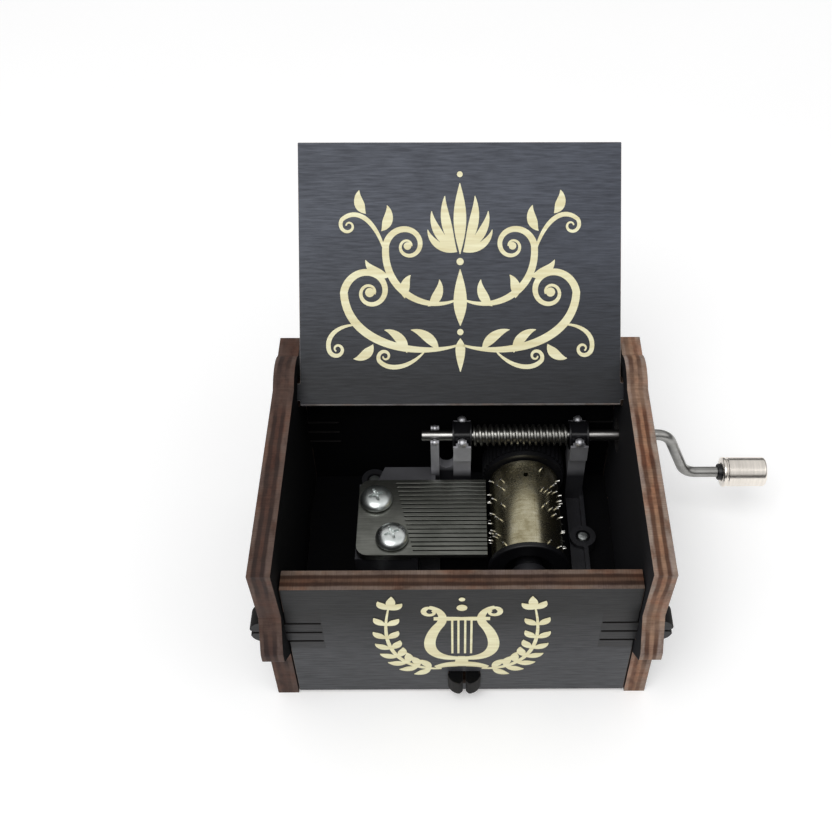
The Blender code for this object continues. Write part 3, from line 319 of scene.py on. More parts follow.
def charAndShadeZone(tree, place, zones):
    # 1 inside any of the boxes (least |x|, least y, most y, least z, most z), where the edges are drawn
    # darkest: the laser's char, with painted shade in the narrow slits
    axes = addNode(tree, "ShaderNodeSeparateXYZ", {"Vector": place}).outputs
    across = addMath(tree, "ABSOLUTE", axes["X"])
    found = 0.0
    for leastX, leastY, mostY, leastZ, mostZ in zones:
        inX = addMath(tree, "GREATER_THAN", across, leastX)
        inY = addMath(tree, "COMPARE", axes["Y"], (leastY + mostY) / 2, (mostY - leastY) / 2)
        inZ = addMath(tree, "COMPARE", axes["Z"], (leastZ + mostZ) / 2, (mostZ - leastZ) / 2)
        inBox = addMath(tree, "MULTIPLY", inX, addMath(tree, "MULTIPLY", inY, inZ))
        found = addMath(tree, "MAXIMUM", found, inBox)
    return found


def edgeColour(tree, sheet, share, look):
    # light veneers outside, dark glue lines and a brown core, faded and scorched in patches
    s = plySheet
    wander = addMath(tree, "SUBTRACT", stretchedNoise(tree, sheet, **s["bandWander"]), 0.5)
    layer = addMath(tree, "ADD", share, addMath(tree, "MULTIPLY", wander, look["wander"]))
    bands = addRamp(tree, layer, [(place, look[band]) for place, band in s["bands"]])
    plain = mixColours(tree, s["lightInFaded"], look["core"], look["light"])
    patches = stretchedNoise(tree, sheet, **s["fadedPatches"])
    faded = twoTone(tree, patches, grey(0), grey(1), s["fadedPlaces"])
    edge = mixColours(tree, addMath(tree, "MULTIPLY", faded, look["fade"]), bands, plain)
    hue = addRamp(tree, stretchedNoise(tree, sheet, **s["hue"]), s["warmToCool"])
    edge = mixColours(tree, 1.0, edge, hue, "MULTIPLY")
    scorch = addRamp(tree, stretchedNoise(tree, sheet, **s["scorch"]), s["charToClean"])
    return mixColours(tree, 1.0, edge, scorch, "MULTIPLY")


def plywoodMaterial(name, look):
    # after the mapping Z is the depth in the sheet and X runs along the grain of its faces
    s = plySheet
    material, tree, shader = newMaterial(name)
    place = addNode(tree, "ShaderNodeTexCoord").outputs["Object"]
    turned = {"Vector": place, "Rotation": look["turn"], "Location": look["start"]}
    sheet = addNode(tree, "ShaderNodeMapping", turned).outputs[0]
    share = addMath(tree, "DIVIDE", axisOf(tree, sheet, "Z"), s["thickness"])
    nearest = addMath(tree, "MINIMUM", share, addMath(tree, "SUBTRACT", 1.0, share))
    onFace = addMath(tree, "LESS_THAN", nearest, s["faceSkin"] / s["thickness"])
    charAndShadeMask = charAndShadeZone(tree, place, look["burnt"])

    # the edge carries the fine strokes of the laser
    strokes = stretchedNoise(tree, sheet, **s["strokes"])
    ticks = addRamp(tree, strokes, s["strokeTones"])
    edge = mixColours(tree, s["strokeShare"], edgeColour(tree, sheet, share, look), ticks, "MULTIPLY")
    # laser char, with painted shade in the narrow slits
    edge = mixColours(tree, charAndShadeMask, edge, s["burnt"])

    # painted light and shade on the outer face: it is drawn darker or lighter from its foot to its top
    grain = stretchedNoise(tree, sheet, **s["grain"])
    cloud = stretchedNoise(tree, sheet, **s["cloud"])
    fibre = weighed(tree, grain, cloud, s["grainShare"])
    outer = twoTone(tree, fibre, *look["face"], s["grainPlaces"])
    low, high, lowShade, highShade = look["tone"]
    heights = {"Value": axisOf(tree, place, "Z"), "From Min": low, "From Max": high}
    shades = {"To Min": lowShade, "To Max": highShade}
    paintedHeightShade = addNode(tree, "ShaderNodeMapRange", {**heights, **shades}).outputs[0]
    outer = mixColours(tree, 1.0, outer, paintedHeightShade, "MULTIPLY")
    face = mixColours(tree, addMath(tree, "MULTIPLY", charAndShadeMask, look["sooty"]), outer, s["burnt"])
    dull = twoTone(tree, fibre, *s["faceRoughness"])
    if look["inside"] is None:
        shader.inputs["Specular IOR Level"].default_value = look["shine"]
    else:
        # painted shade: the face towards the inside of the box is drawn darker, and it is duller
        far = addMath(tree, "GREATER_THAN", share, 0.5)
        inside = far if look["inside"] == "far" else addMath(tree, "SUBTRACT", 1.0, far)
        inner = twoTone(tree, fibre, *s["inside"][look["depth"]], s["grainPlaces"])
        face = mixColours(tree, inside, face, inner)
        dull = mixValues(tree, inside, dull, s["insideRoughness"])
        insideFace = addMath(tree, "MULTIPLY", inside, onFace)
        shine = mixValues(tree, insideFace, look["shine"], look["insideShine"])
        tree.links.new(shine, shader.inputs["Specular IOR Level"])
    tree.links.new(mixColours(tree, onFace, edge, face), shader.inputs["Base Color"])
    tree.links.new(mixValues(tree, onFace, s["edgeRoughness"], dull), shader.inputs["Roughness"])
    addBump(tree, shader, mixValues(tree, onFace, strokes, fibre), s["relief"])
    return material


creamLook = {
    "grain": {"stretch": (90, 1500, 1500), "detail": 4.0},
    "colours": (tint(224, 214, 168), tint(246, 242, 205)),
    "roughness": 0.6,
    "relief": 0.02 * mm,
}


def creamMaterial():
    # bare light wood where the stain is engraved away
    s = creamLook
    material, tree, shader = newMaterial("cream_wood")
    place = addNode(tree, "ShaderNodeTexCoord").outputs["Object"]
    grain = stretchedNoise(tree, place, **s["grain"])
    tree.links.new(twoTone(tree, grain, *s["colours"]), shader.inputs["Base Color"])
    shader.inputs["Roughness"].default_value = s["roughness"]
    addBump(tree, shader, grain, s["relief"])
    return material


castLook = {
    "fine": {"stretch": (2600, 2600, 2600), "detail": 4.0, "roughness": 0.6},
    "broad": {"stretch": (160, 160, 160)},
    "plate": (tint(36, 36, 39), tint(54, 54, 58)),
    "posts": (tint(168, 168, 173), tint(204, 204, 209)),
    # painted light and shade: the heights between which the shaded plate gives way to the lit posts
    "postsRise": (15.5 * mm, 17.5 * mm),
    "postsBehind": -13 * mm,
    # the right post stands in the shade
    "dimPostFrom": 15 * mm,
    "dimShare": 0.5,
    "roughness": (grey(0.44), grey(0.32)),
    "metallic": 0.4,
    "relief": 0.03 * mm,
}


def castMaterial():
    s = castLook
    material, tree, shader = newMaterial("cast_zinc")
    place = addNode(tree, "ShaderNodeTexCoord").outputs["Object"]
    fine = stretchedNoise(tree, place, **s["fine"])
    broad = stretchedNoise(tree, place, **s["broad"])
    plate = twoTone(tree, broad, *s["plate"])
    posts = twoTone(tree, broad, *s["posts"])
    axes = addNode(tree, "ShaderNodeSeparateXYZ", {"Vector": place}).outputs
    low, high = s["postsRise"]
    rise = {"Value": axes["Z"], "From Min": low, "From Max": high}
    raised = addNode(tree, "ShaderNodeMapRange", rise).outputs[0]
    behind = addMath(tree, "GREATER_THAN", axes["Y"], s["postsBehind"])
    rightPost = addMath(tree, "GREATER_THAN", axes["X"], s["dimPostFrom"])
    dimmed = addMath(tree, "MULTIPLY", rightPost, s["dimShare"])
    bright = addMath(tree, "MULTIPLY", raised, addMath(tree, "SUBTRACT", behind, dimmed))
    # painted light on the posts over painted shade on the plate and on the right post
    tree.links.new(mixColours(tree, bright, plate, posts), shader.inputs["Base Color"])
    tree.links.new(twoTone(tree, broad, *s["roughness"]), shader.inputs["Roughness"])
    shader.inputs["Metallic"].default_value = s["metallic"]
    addBump(tree, shader, fine, s["relief"])
    return material


steelPattern = {
    "lines": {"detail": 4.0, "roughness": 0.6},
    "cloud": {"stretch": (240, 240, 240)},
    "linesShare": 0.5,
    "places": (0.34, 0.64),
}


def steelMaterial(name, dark, light, stretch, roughLow, roughHigh, relief=0.012 * mm):
    # drawn, ground or turned steel: fine lines along the least stretched axis
    s = steelPattern
    material, tree, shader = newMaterial(name)
    place = addNode(tree, "ShaderNodeTexCoord").outputs["Object"]
    lines = stretchedNoise(tree, place, stretch, **s["lines"])
    blend = weighed(tree, lines, stretchedNoise(tree, place, **s["cloud"]), s["linesShare"])
    tree.links.new(twoTone(tree, blend, dark, light, s["places"]), shader.inputs["Base Color"])
    rough = twoTone(tree, blend, grey(roughHigh), grey(roughLow), s["places"])
    tree.links.new(rough, shader.inputs["Roughness"])
    shader.inputs["Metallic"].default_value = 1.0
    addBump(tree, shader, lines, relief)
    return material


brassLook = {
    "lines": {"stretch": (500, 2600, 500), "detail": 4.0, "roughness": 0.6},
    "spots": {"stretch": (420, 420, 420), "detail": 5.0, "roughness": 0.7},
    "linesShare": 0.35,
    "colours": ((0.34, tint(152, 141, 108)), (0.5, tint(190, 182, 152)), (0.68, tint(214, 208, 184))),
    "roughness": (grey(0.34), grey(0.2)),
    "relief": 0.02 * mm,
}


def brassMaterial():
    s = brassLook
    material, tree, shader = newMaterial("pale_brass")
    place = addNode(tree, "ShaderNodeTexCoord").outputs["Object"]
    lines = stretchedNoise(tree, place, **s["lines"])
    blend = weighed(tree, lines, stretchedNoise(tree, place, **s["spots"]), s["linesShare"])
    tree.links.new(addRamp(tree, blend, s["colours"]), shader.inputs["Base Color"])
    tree.links.new(twoTone(tree, blend, *s["roughness"]), shader.inputs["Roughness"])
    shader.inputs["Metallic"].default_value = 1.0
    addBump(tree, shader, blend, s["relief"])
    return material


plasticLook = {
    "fine": {"stretch": (3200, 3200, 3200)},
    "broad": {"stretch": (200, 200, 200), "detail": 2.0},
    "colours": (tint(9, 9, 11), tint(21, 21, 24)),
    "roughness": (grey(0.45), grey(0.33)),
    "shine": 0.36,
    "relief": 0.01 * mm,
}


def plasticMaterial():
    s = plasticLook
    material, tree, shader = newMaterial("moulded_plastic")
    place = addNode(tree, "ShaderNodeTexCoord").outputs["Object"]
    broad = stretchedNoise(tree, place, **s["broad"])
    tree.links.new(twoTone(tree, broad, *s["colours"]), shader.inputs["Base Color"])
    tree.links.new(twoTone(tree, broad, *s["roughness"]), shader.inputs["Roughness"])
    shader.inputs["Specular IOR Level"].default_value = s["shine"]
    addBump(tree, shader, stretchedNoise(tree, place, **s["fine"]), s["relief"])
    return material


# each with its dark and light tint, the stretch of its lines, its least and most roughness, its relief
steelLooks = {
    "comb_ground": (tint(100, 102, 96), tint(134, 135, 129), (160, 2600, 900), 0.3, 0.42),
    "wire_drawn": (tint(138, 137, 134), tint(168, 167, 164), (120, 900, 900), 0.27, 0.35, 0.004 * mm),
    # painted shade: the worm's steel is drawn darker than the wire's, so that only its top shows lit
    "worm_oiled": (tint(118, 117, 113), tint(150, 149, 145), (120, 900, 900), 0.3, 0.42),
    "screw_plated": (tint(190, 196, 194), tint(238, 242, 240), (500, 500, 500), 0.26, 0.42),
    "knob_turned": (tint(226, 219, 210), tint(246, 239, 230), (2400, 90, 90), 0.18, 0.26, 0.004 * mm),
    "pin_steel": (tint(150, 148, 142), tint(214, 212, 206), (1500, 1500, 1500), 0.15, 0.3),
    "tip_swaged": (tint(190, 190, 194), tint(228, 228, 232), (700, 700, 700), 0.46, 0.58),
}
steel = {name: steelMaterial(name, *look) for name, look in steelLooks.items()}
brassFinish = brassMaterial()
castFinish = castMaterial()
plasticFinish = plasticMaterial()
creamFinish = creamMaterial()
print("finishes ready")


# case: each panel is its laser-cut blank with the corners of the cut just broken

hingePlace = Vector(jointPlace("lid_hinge"))
crankAt = jointPlace("crank_turn")
lidTurn = Euler((math.radians(135), 0, 0))
lidStart = Vector((0, 0, plySheet["thickness"] / 2)) - lidTurn.to_matrix() @ hingePlace
quarter = math.pi / 2
# where the edges are drawn darkest: round the snap tenons, their slits and noses, and round the crank's hole;
# this is the laser's char, and in the narrow slits painted shade as well
charAndShadeZones = {
    "tenonsFrom": 22.4 * mm,
    "tenonHeights": (15 * mm, 26 * mm),
    "crankHole": 3.4 * mm,
    "farOut": 60 * mm,
}
farOut, hole = charAndShadeZones["farOut"], charAndShadeZones["crankHole"]
tenonZone = (charAndShadeZones["tenonsFrom"], -farOut, farOut, *charAndShadeZones["tenonHeights"])
holeZone = (0, crankAt[1] - hole, crankAt[1] + hole, crankAt[2] - hole, crankAt[2] + hole)
panelLook = {
    "turn": (quarter, 0, 0),
    # the outer faces, with their painted shade by height as (low height, high height, shade at the low, shade
    # at the high)
    "face": (tint(34, 35, 38), tint(53, 54, 57)),
    "tone": (0, 1, 1, 1),
    "shine": 0.42,
    # which face looks into the box, and how deep the painted shade on that face is
    "inside": "far",
    "depth": "black",
    "insideShine": 0.12,
    # the edges: their veneers, and how much they fade and wander
    "light": tint(113, 98, 88),
    "dark": tint(60, 41, 30),
    "core": tint(91, 70, 57),
    "fade": 0.0,
    "wander": 0.1,
    "burnt": [],
    "sooty": 0.0,
}
panels = {
    "left_side_panel": {
        "turn": (0, -quarter, 0), "start": (0, 0, -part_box("left_side_panel")[0].x),
        # painted shade: the left panel's edges are drawn darker than the other panels' edges
        "light": tint(96, 79, 71), "dark": tint(50, 34, 28), "core": tint(74, 52, 43),
        "fade": 0.8, "wander": 0.24,
    },
    "right_side_panel": {
        "turn": (0, -quarter, 0), "start": (0, 0, -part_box("right_side_panel")[0].x),
        # its inside face takes the lighter, bluer painted shade, as the light reaches it
        "inside": "near", "depth": "dim", "insideShine": 0.3,
        # painted light: the right panel's edges are drawn lighter than the other panels' edges
        "light": tint(152, 137, 126), "dark": tint(92, 64, 47), "core": tint(152, 121, 97),
        "fade": 0.55, "wander": 0.2, "burnt": [holeZone],
    },
    "front_panel": {
        "start": (0, 0, -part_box("front_panel")[0].y), "burnt": [tenonZone], "sooty": 0.5,
        # painted light and painted reflection: the front face is drawn lighter near its foot, where it
        # mirrors the floor, and darker towards its top
        "tone": (13 * mm, 26 * mm, 1.6, 0.25), "shine": 0.28,
    },
    "back_panel": {
        "start": (0, 0, -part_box("back_panel")[0].y), "burnt": [tenonZone], "sooty": 0.5,
        "inside": "near",
    },
    "floor_panel": {
        "turn": (0, 0, 0), "start": (0, 0, -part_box("floor_panel")[0].z),
        "burnt": [(0, -farOut, farOut, 0, farOut)],
    },
    "lid": {
        "turn": tuple(lidTurn), "start": tuple(lidStart), "inside": None,
        # painted light and shade: the lid's face is drawn bluer than the other panels, for a cool light, and
        # lighter towards its top, darker at its foot
        "face": (tint(31, 34, 42), tint(51, 55, 64)),
        "tone": (37 * mm, 56 * mm, 0.3, 1.85), "shine": 0.34,
        "light": tint(150, 150, 150), "dark": tint(72, 70, 70), "core": tint(118, 117, 116),
    },
}
panelRounding = {"edge": 0.12 * mm, "sharperThan": 30}

for node, changes in panels.items():
    finish = plywoodMaterial("ply_" + node, {**panelLook, **changes})
    trimNode(node, node + "_cut", "lid" if node == "lid" else "case", finish, **panelRounding)
print("case panels done")


# ornament: ribbons of changing width along drawn paths, on one face

def bezierRun(start, leave, arrive, end, count):
    corners = [Vector(place) for place in (start, leave, arrive, end)]
    return [Vector(point) for point in interpolate_bezier(*corners, count)]


def spiralRun(centre, startRadius, endRadius, startAngle, sweep, count):
    points = []
    for k in range(count):
        share = k / (count - 1)
        radius = startRadius * (endRadius / startRadius) ** share
        angle = math.radians(startAngle + sweep * share)
        points.append(Vector((centre[0] + radius * math.cos(angle), centre[1] + radius * math.sin(angle))))
    return points


def ribbon(path, widest, narrowest, peak, height, mirrored=False):
    # widest at the share of its length given by peak, and pointed or blunt at its ends
    count = len(path)
    grid = {"x_subdivisions": count - 1, "y_subdivisions": 1, "size": mm}
    strip = startPiece("ribbon", bpy.ops.mesh.primitive_grid_add, **grid)
    lengths = [0.0]
    for a, b in zip(path, path[1:]):
        lengths.append(lengths[-1] + (b - a).length)
    rows = [[], []]
    for k, point in enumerate(path):
        ahead = path[min(k + 1, count - 1)] - path[max(k - 1, 0)]
        side = Vector((-ahead.y, ahead.x)).normalized()
        share = lengths[k] / lengths[-1]
        rise = share / peak if share < peak else (1 - share) / (1 - peak)
        width = narrowest + (widest - narrowest) * math.sin(min(rise, 1.0) * math.pi / 2)
        for row, way in zip(rows, (1, -1)):
            spot = point + side * width / 2 * way
            row.append(Vector((-spot.x if mirrored else spot.x, spot.y, height)) * mm)
    for vertex, place in zip(strip.data.vertices, rows[0] + rows[1]):
        vertex.co = place
    return strip


def dot(x, y, radius, height):
    spot = startPiece(
        "dot", bpy.ops.mesh.primitive_circle_add,
        vertices=28, radius=radius * mm, fill_type="NGON", location=(x * mm, y * mm, height * mm),
    )
    settle(spot)
    return spot


def leafPath(base, tip, bow, count=14):
    base, tip = Vector(base), Vector(tip)
    run = tip - base
    side = Vector((-run.y, run.x)) * bow
    return bezierRun(base, base + run * 0.3 + side, base + run * 0.75 + side, tip, count)


def inlay(pieces, name, place, body, thickness=0.06 * mm):
    # the flat drawing gets its thickness and is laid on its panel
    drawing = joinPieces(pieces, name)
    openForEditing(drawing)
    bpy.ops.mesh.remove_doubles(threshold=0.0005 * mm)
    bpy.ops.mesh.normals_make_consistent(inside=False)
    closeEditing()
    mesh = drawing.data
    shape = bmesh.new()
    shape.from_mesh(mesh)
    for face in shape.faces:
        if face.normal.z < 0:
            face.normal_flip()
    shape.to_mesh(mesh)
    shape.free()
    solid = drawing.modifiers.new("depth", "SOLIDIFY")
    solid.thickness = thickness
    solid.offset = -1.0
    applyModifiers(drawing)
    drawing.matrix_world = place
    settle(drawing)
    finishPiece(drawing, body, creamFinish)
    return drawing


def nextHeight(s, strips):
    # each strip lies a touch over the one before, so that no two share a plane
    return s["proud"] + s["step"] * len(strips)


def addPair(s, strips, path, widest, narrowest, peak=0.5):
    for mirrored in (False, True):
        strips.append(ribbon(path, widest, narrowest, peak, nextHeight(s, strips), mirrored))


lidScroll = {
    "proud": 0.03,
    "step": 0.0015,
    "hingeToFreeEdge": 43.1 * mm,
    "fromFreeEdge": 22.4 * mm,
    # each scroll is a run of four points and a count, a curl, and its widest, narrowest and peak
    "scrolls": (
        # the lower one sweeps out from the foot and curls in on itself
        (
            ((0.5, -12.6), (7.5, -14.8), (19.6, -12.5), (20.2, -3.6), 30),
            ((15.7, -3.4), 4.5, 0.85, 0, 560, 70), (1.25 * 1.15, 0.35, 0.35),
        ),
        # the upper one rises from the middle and curls towards the crest
        (
            ((0.4, -4.6), (6.0, -7.2), (13.4, -3.2), (12.9, 4.4), 30),
            ((9.1, 4.6), 3.8, 0.7, 0, 540, 64), (1.25, 0.3, 0.35),
        ),
        # tendrils leave the scrolls outwards
        (
            ((12.9, 3.0), (14.2, 8.6), (17.6, 11.6), (20.4, 9.2), 24),
            ((19.3, 8.1), 1.56, 0.4, 45, -400, 36), (0.8, 0.25, 0.45),
        ),
        (
            ((18.2, -9.0), (20.6, -9.0), (23.4, -10.4), (22.9, -13.2), 20),
            ((21.4, -13.2), 1.5, 0.4, 0, -420, 34), (0.8, 0.25, 0.45),
        ),
        (
            ((6.2, -13.6), (8.8, -16.6), (12.6, -17.2), (14.2, -15.2), 20),
            ((13.1, -14.5), 1.3, 0.35, -35, 400, 32), (0.8, 0.25, 0.45),
        ),
    ),
    # leaves along the stems, each from its base to its tip with its bow
    "leaves": (
        ((3.8, -13.5), (8.6, -9.9), 0.16), ((9.3, -13.9), (13.2, -9.9), 0.2),
        ((15.2, -12.4), (18.6, -14.9), -0.2), ((5.6, -5.8), (3.6, -1.2), 0.2),
        ((9.6, -4.4), (8.6, -0.4), -0.16), ((12.2, -0.6), (16.4, 2.2), -0.2),
        ((13.6, 7.2), (12.6, 11.6), 0.2), ((16.3, 10.2), (17.4, 14.2), -0.2),
    ),
    "leafWide": 1.7,
    # the crest: a fan of leaves over the middle, each with its tip, bow and width
    "crestBase": (0.55, 3.6),
    "crest": (((2.6, 13.2), -0.1, 1.7), ((4.9, 10.6), -0.16, 1.5), ((5.6, 7.4), -0.22, 1.2)),
    # single leaves on the middle line, from and to these heights, with their width and peak
    "middle": ((3.2, 15.4, 2.2, 0.5), (-9.2, 0.6, 2.3, 0.42), (-11.4, -17.2, 1.7, 0.3)),
    "dots": (
        (0, 1.9, 0.62), (0, -10.3, 0.55), (0, 16.9, 0.5),
        (15.7, -3.4, 0.8), (-15.7, -3.4, 0.8), (9.1, 4.6, 0.66), (-9.1, 4.6, 0.66),
    ),
}


def lidOrnament():
    s = lidScroll
    strips = []
    for run, curl, widths in s["scrolls"]:
        addPair(s, strips, bezierRun(*run)[:-1] + spiralRun(*curl), *widths)
    for base, tip, bow in s["leaves"]:
        addPair(s, strips, leafPath(base, tip, bow), s["leafWide"], 0.08, 0.42)
    for tip, bow, width in s["crest"]:
        addPair(s, strips, leafPath(s["crestBase"], tip, bow), width, 0.1)
    for low, high, width, peak in s["middle"]:
        strips.append(ribbon(leafPath((0, low), (0, high), 0.0), width, 0.1, peak, s["proud"]))
    for x, y, radius in s["dots"]:
        strips.append(dot(x, y, radius, nextHeight(s, strips)))
    # from the drawing to the lid's lower face, whose up is towards the free edge
    face = lidTurn.to_matrix().inverted()
    reach = s["hingeToFreeEdge"] - s["fromFreeEdge"]
    middle = hingePlace + face @ Vector((0, -reach, -plySheet["thickness"] / 2))
    across = Matrix(((1, 0, 0), (0, -1, 0), (0, 0, -1)))
    place = Matrix.Translation(middle) @ (face @ across).to_4x4()
    return inlay(strips, "lid_scrollwork", place, "lid")


lyreArt = {"proud": 0.03, "step": 0.002, "centre": 18.6 * mm, "leafWide": 1.45}


def frontOrnament():
    s = lyreArt
    strips = []
    # the lyre: two bowed arms with curled tips, a yoke, strings and a foot
    arm = bezierRun((0.4, -7.0), (7.2, -7.2), (5.4, 0.4), (3.6, 3.4), 26)
    tip = bezierRun((3.6, 3.4), (2.4, 5.6), (3.4, 8.2), (5.2, 8.6), 16)
    addPair(s, strips, arm[:-1] + tip, 1.9, 0.9, 0.3)
    addPair(s, strips, spiralRun((5.0, 7.2), 1.4, 0.5, 90, -330, 26), 0.9, 0.4, 0.2)
    addPair(s, strips, [Vector((x, 5.3)) for x in (0.0, 1.5, 3.0, 4.5)], 1.1, 0.9)
    for x in (0.55, 1.55):
        addPair(s, strips, [Vector((x, y)) for y in (-5.4, -1.0, 5.3)], 0.36, 0.36)
    addPair(s, strips, bezierRun((0.0, -8.9), (1.6, -8.9), (3.2, -9.2), (4.4, -10.0), 12), 1.5, 0.9, 0.2)
    strips.append(ribbon(leafPath((0, -6.4), (0, -9.6), 0.0), 2.2, 1.2, 0.5, nextHeight(s, strips)))
    # a spray of leaves on each side
    stem = bezierRun((3.4, -10.4), (9.6, -10.8), (14.0, -5.0), (11.6, 8.2), 40)
    addPair(s, strips, stem, 0.75, 0.3, 0.2)
    for k in range(4, 40, 5):
        here = stem[k]
        along = (stem[min(k + 2, 39)] - stem[k - 1]).normalized()
        side = Vector((-along.y, along.x))
        size = 3.5 - 0.02 * k
        for way in (1, -1):
            tip = here + (along * 0.72 + side * 0.7 * way) * size
            addPair(s, strips, leafPath(here, tip, 0.12 * way), s["leafWide"], 0.1)
    addPair(s, strips, leafPath(stem[-1], stem[-1] + Vector((-0.6, 3.6)), 0.05), 1.5, 0.1)
    for x, y, radius in ((0, 8.6, 0.85), (0, 11.0, 0.5)):
        strips.append(dot(x, y, radius, nextHeight(s, strips)))
    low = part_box("front_panel")[0]
    upright = Matrix(((1, 0, 0), (0, 0, -1), (0, 1, 0)))
    place = Matrix.Translation(Vector((0, low.y, s["centre"]))) @ upright.to_4x4()
    return inlay(strips, "front_lyre", place, "case")


lidOrnament()
frontOrnament()
print("ornament laid")


# movement: screws, comb and bedplate

screwHead = {
    "radius": 2.95 * mm,
    "height": 1.5 * mm,
    "rimInset": 0.15 * mm,
    "rimHeight": 0.12 * mm,
    "domeAngles": (0.35, 0.6, 0.85, 1.1, 1.3, 1.46),
    "domeFullness": 0.6,
    "shank": 1.2 * mm,
    "point": 0.5 * mm,
    "pointShare": 0.7,
    "crossTurn": 0.4,
    "crossWide": 0.5 * mm,
    "crossReach": 1.35 * mm,
    "crossDeep": 1.3 * mm,
    "crossRounding": 0.12 * mm,
    "edge": 0.04 * mm,
}


def screwPiece(node, name):
    s = screwHead
    low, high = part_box(node)
    middle = (low + high) / 2
    down = node.endswith("comb_screw")
    seat = high.z - s["height"] if down else low.z + s["height"]
    end = low.z if down else high.z
    way = 1 if down else -1
    top = seat + way * s["height"]
    profile = [
        (end, 0.0), (end, s["shank"] * s["pointShare"]), (end + way * s["point"], s["shank"]),
        (seat, s["shank"]), (seat, s["radius"] - s["rimInset"]), (seat + way * s["rimHeight"], s["radius"]),
    ]
    for angle in s["domeAngles"]:
        width = s["radius"] * math.cos(angle) ** s["domeFullness"]
        profile.append((seat + way * s["height"] * math.sin(angle), width))
    profile.append((top, 0.0))
    screw = turnPiece(name, profile, "Z", (middle.x, middle.y, 0), 64)
    for turn in (s["crossTurn"], s["crossTurn"] + math.pi / 2):
        cross = startPiece(
            "cross", bpy.ops.mesh.primitive_cube_add,
            size=1, location=(middle.x, middle.y, top), rotation=(0, 0, turn),
        )
        cross.scale = (2 * s["crossReach"], s["crossWide"], s["crossDeep"])
        settle(cross)
        roundEdges(cross, s["crossRounding"], 2, 30)
        cutAway(screw, cross)
    roundEdges(screw, s["edge"], 2, 40)
    shadeRound(screw, 40)
    finishPiece(screw, "case", steel["screw_plated"], [node])


for side in ("rear", "front"):
    screwPiece(side + "_comb_screw", side + "_comb_screw_domed")
for side in ("right", "rear", "front"):
    screwPiece(side + "_mounting_screw", side + "_mounting_screw_domed")

trimNode("comb", "comb_ground", "case", steel["comb_ground"], edge=0.05 * mm, segments=1, sharperThan=30)
trimNode("bedplate", "bedplate_cast", "case", castFinish, edge=0.14 * mm)

# the rounded tips of the forks and of the end post, which catch the light
forkTips = {
    # on each shaft post, with their distances behind the shaft and above it
    "radius": 0.84 * mm,
    "front": (-2.75 * mm, 1.0 * mm),
    "rear": (2.35 * mm, 1.45 * mm),
    # on the end post, level with the shaft
    "saddleRadius": 0.62 * mm,
    "saddleApart": 1.72 * mm,
    "endPost": 2.4 * mm,
}


def tipBalls():
    s = forkTips
    shaft = Vector(crankAt)
    places = []
    for side in ("left", "right"):
        low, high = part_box(side + "_bushing")
        places += [((low.x + high.x) / 2, *s[arm], s["radius"]) for arm in ("front", "rear")]
    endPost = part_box("crankshaft")[0].x + s["endPost"]
    places += [(endPost, way * s["saddleApart"], 0, s["saddleRadius"]) for way in (-1, 1)]
    balls = []
    for x, y, z, radius in places:
        ball = startPiece(
            "tip", bpy.ops.mesh.primitive_uv_sphere_add,
            segments=32, ring_count=16, radius=radius, location=(x, shaft.y + y, shaft.z + z),
        )
        settle(ball)
        balls.append(ball)
    tips = joinPieces(balls, "fork_tips")
    shadeRound(tips)
    finishPiece(tips, "case", steel["tip_swaged"])


tipBalls()

for side in ("left", "right"):
    trimNode(side + "_bushing", side + "_bushing_moulded", "case", plasticFinish, edge=0.1 * mm)
print("fixed movement done")


# cylinder: a rolled tube with round pins on the tracks of the comb's teeth

tube = {
    "radius": 6.3 * mm,
    "wall": 1.0 * mm,
    "lip": 0.12 * mm,
    "pinReach": 0.62 * mm,
    "pinRadius": 0.23 * mm,
    "pinRounding": 0.07 * mm,
    "beats": 41,
    "start": math.radians(27),
    "sweep": math.radians(291),
    "teeth": 18,
    "seamAngle": math.radians(11),
    "seamWide": 0.1 * mm,
    "seamDeep": 0.16 * mm,
    "pegHole": 0.45 * mm,
    "pegInset": 3.4 * mm,
    "pegDeep": 4 * mm,
}


def pinPlaces():
    # a wandering tune over a slow bass, with a silent stretch on top
    pins = set()
    for beat in range(tube["beats"]):
        angle = tube["start"] + tube["sweep"] * beat / (tube["beats"] - 1)
        swell = math.sin(2 * math.pi * beat / 13) + 0.6 * math.sin(2 * math.pi * beat / 5 + 1)
        melody = round(6.2 + 3.2 * swell)
        pins.add((melody, angle))
        if beat % 3 != 2:
            pins.add((tube["teeth"] - 1 - (beat * 5) % 6, angle))
        if beat % 2 == 0:
            pins.add(((melody + 4) % tube["teeth"], angle))
        if beat % 3 == 1:
            pins.add(((melody + 9) % tube["teeth"], angle))
    return sorted(pins)


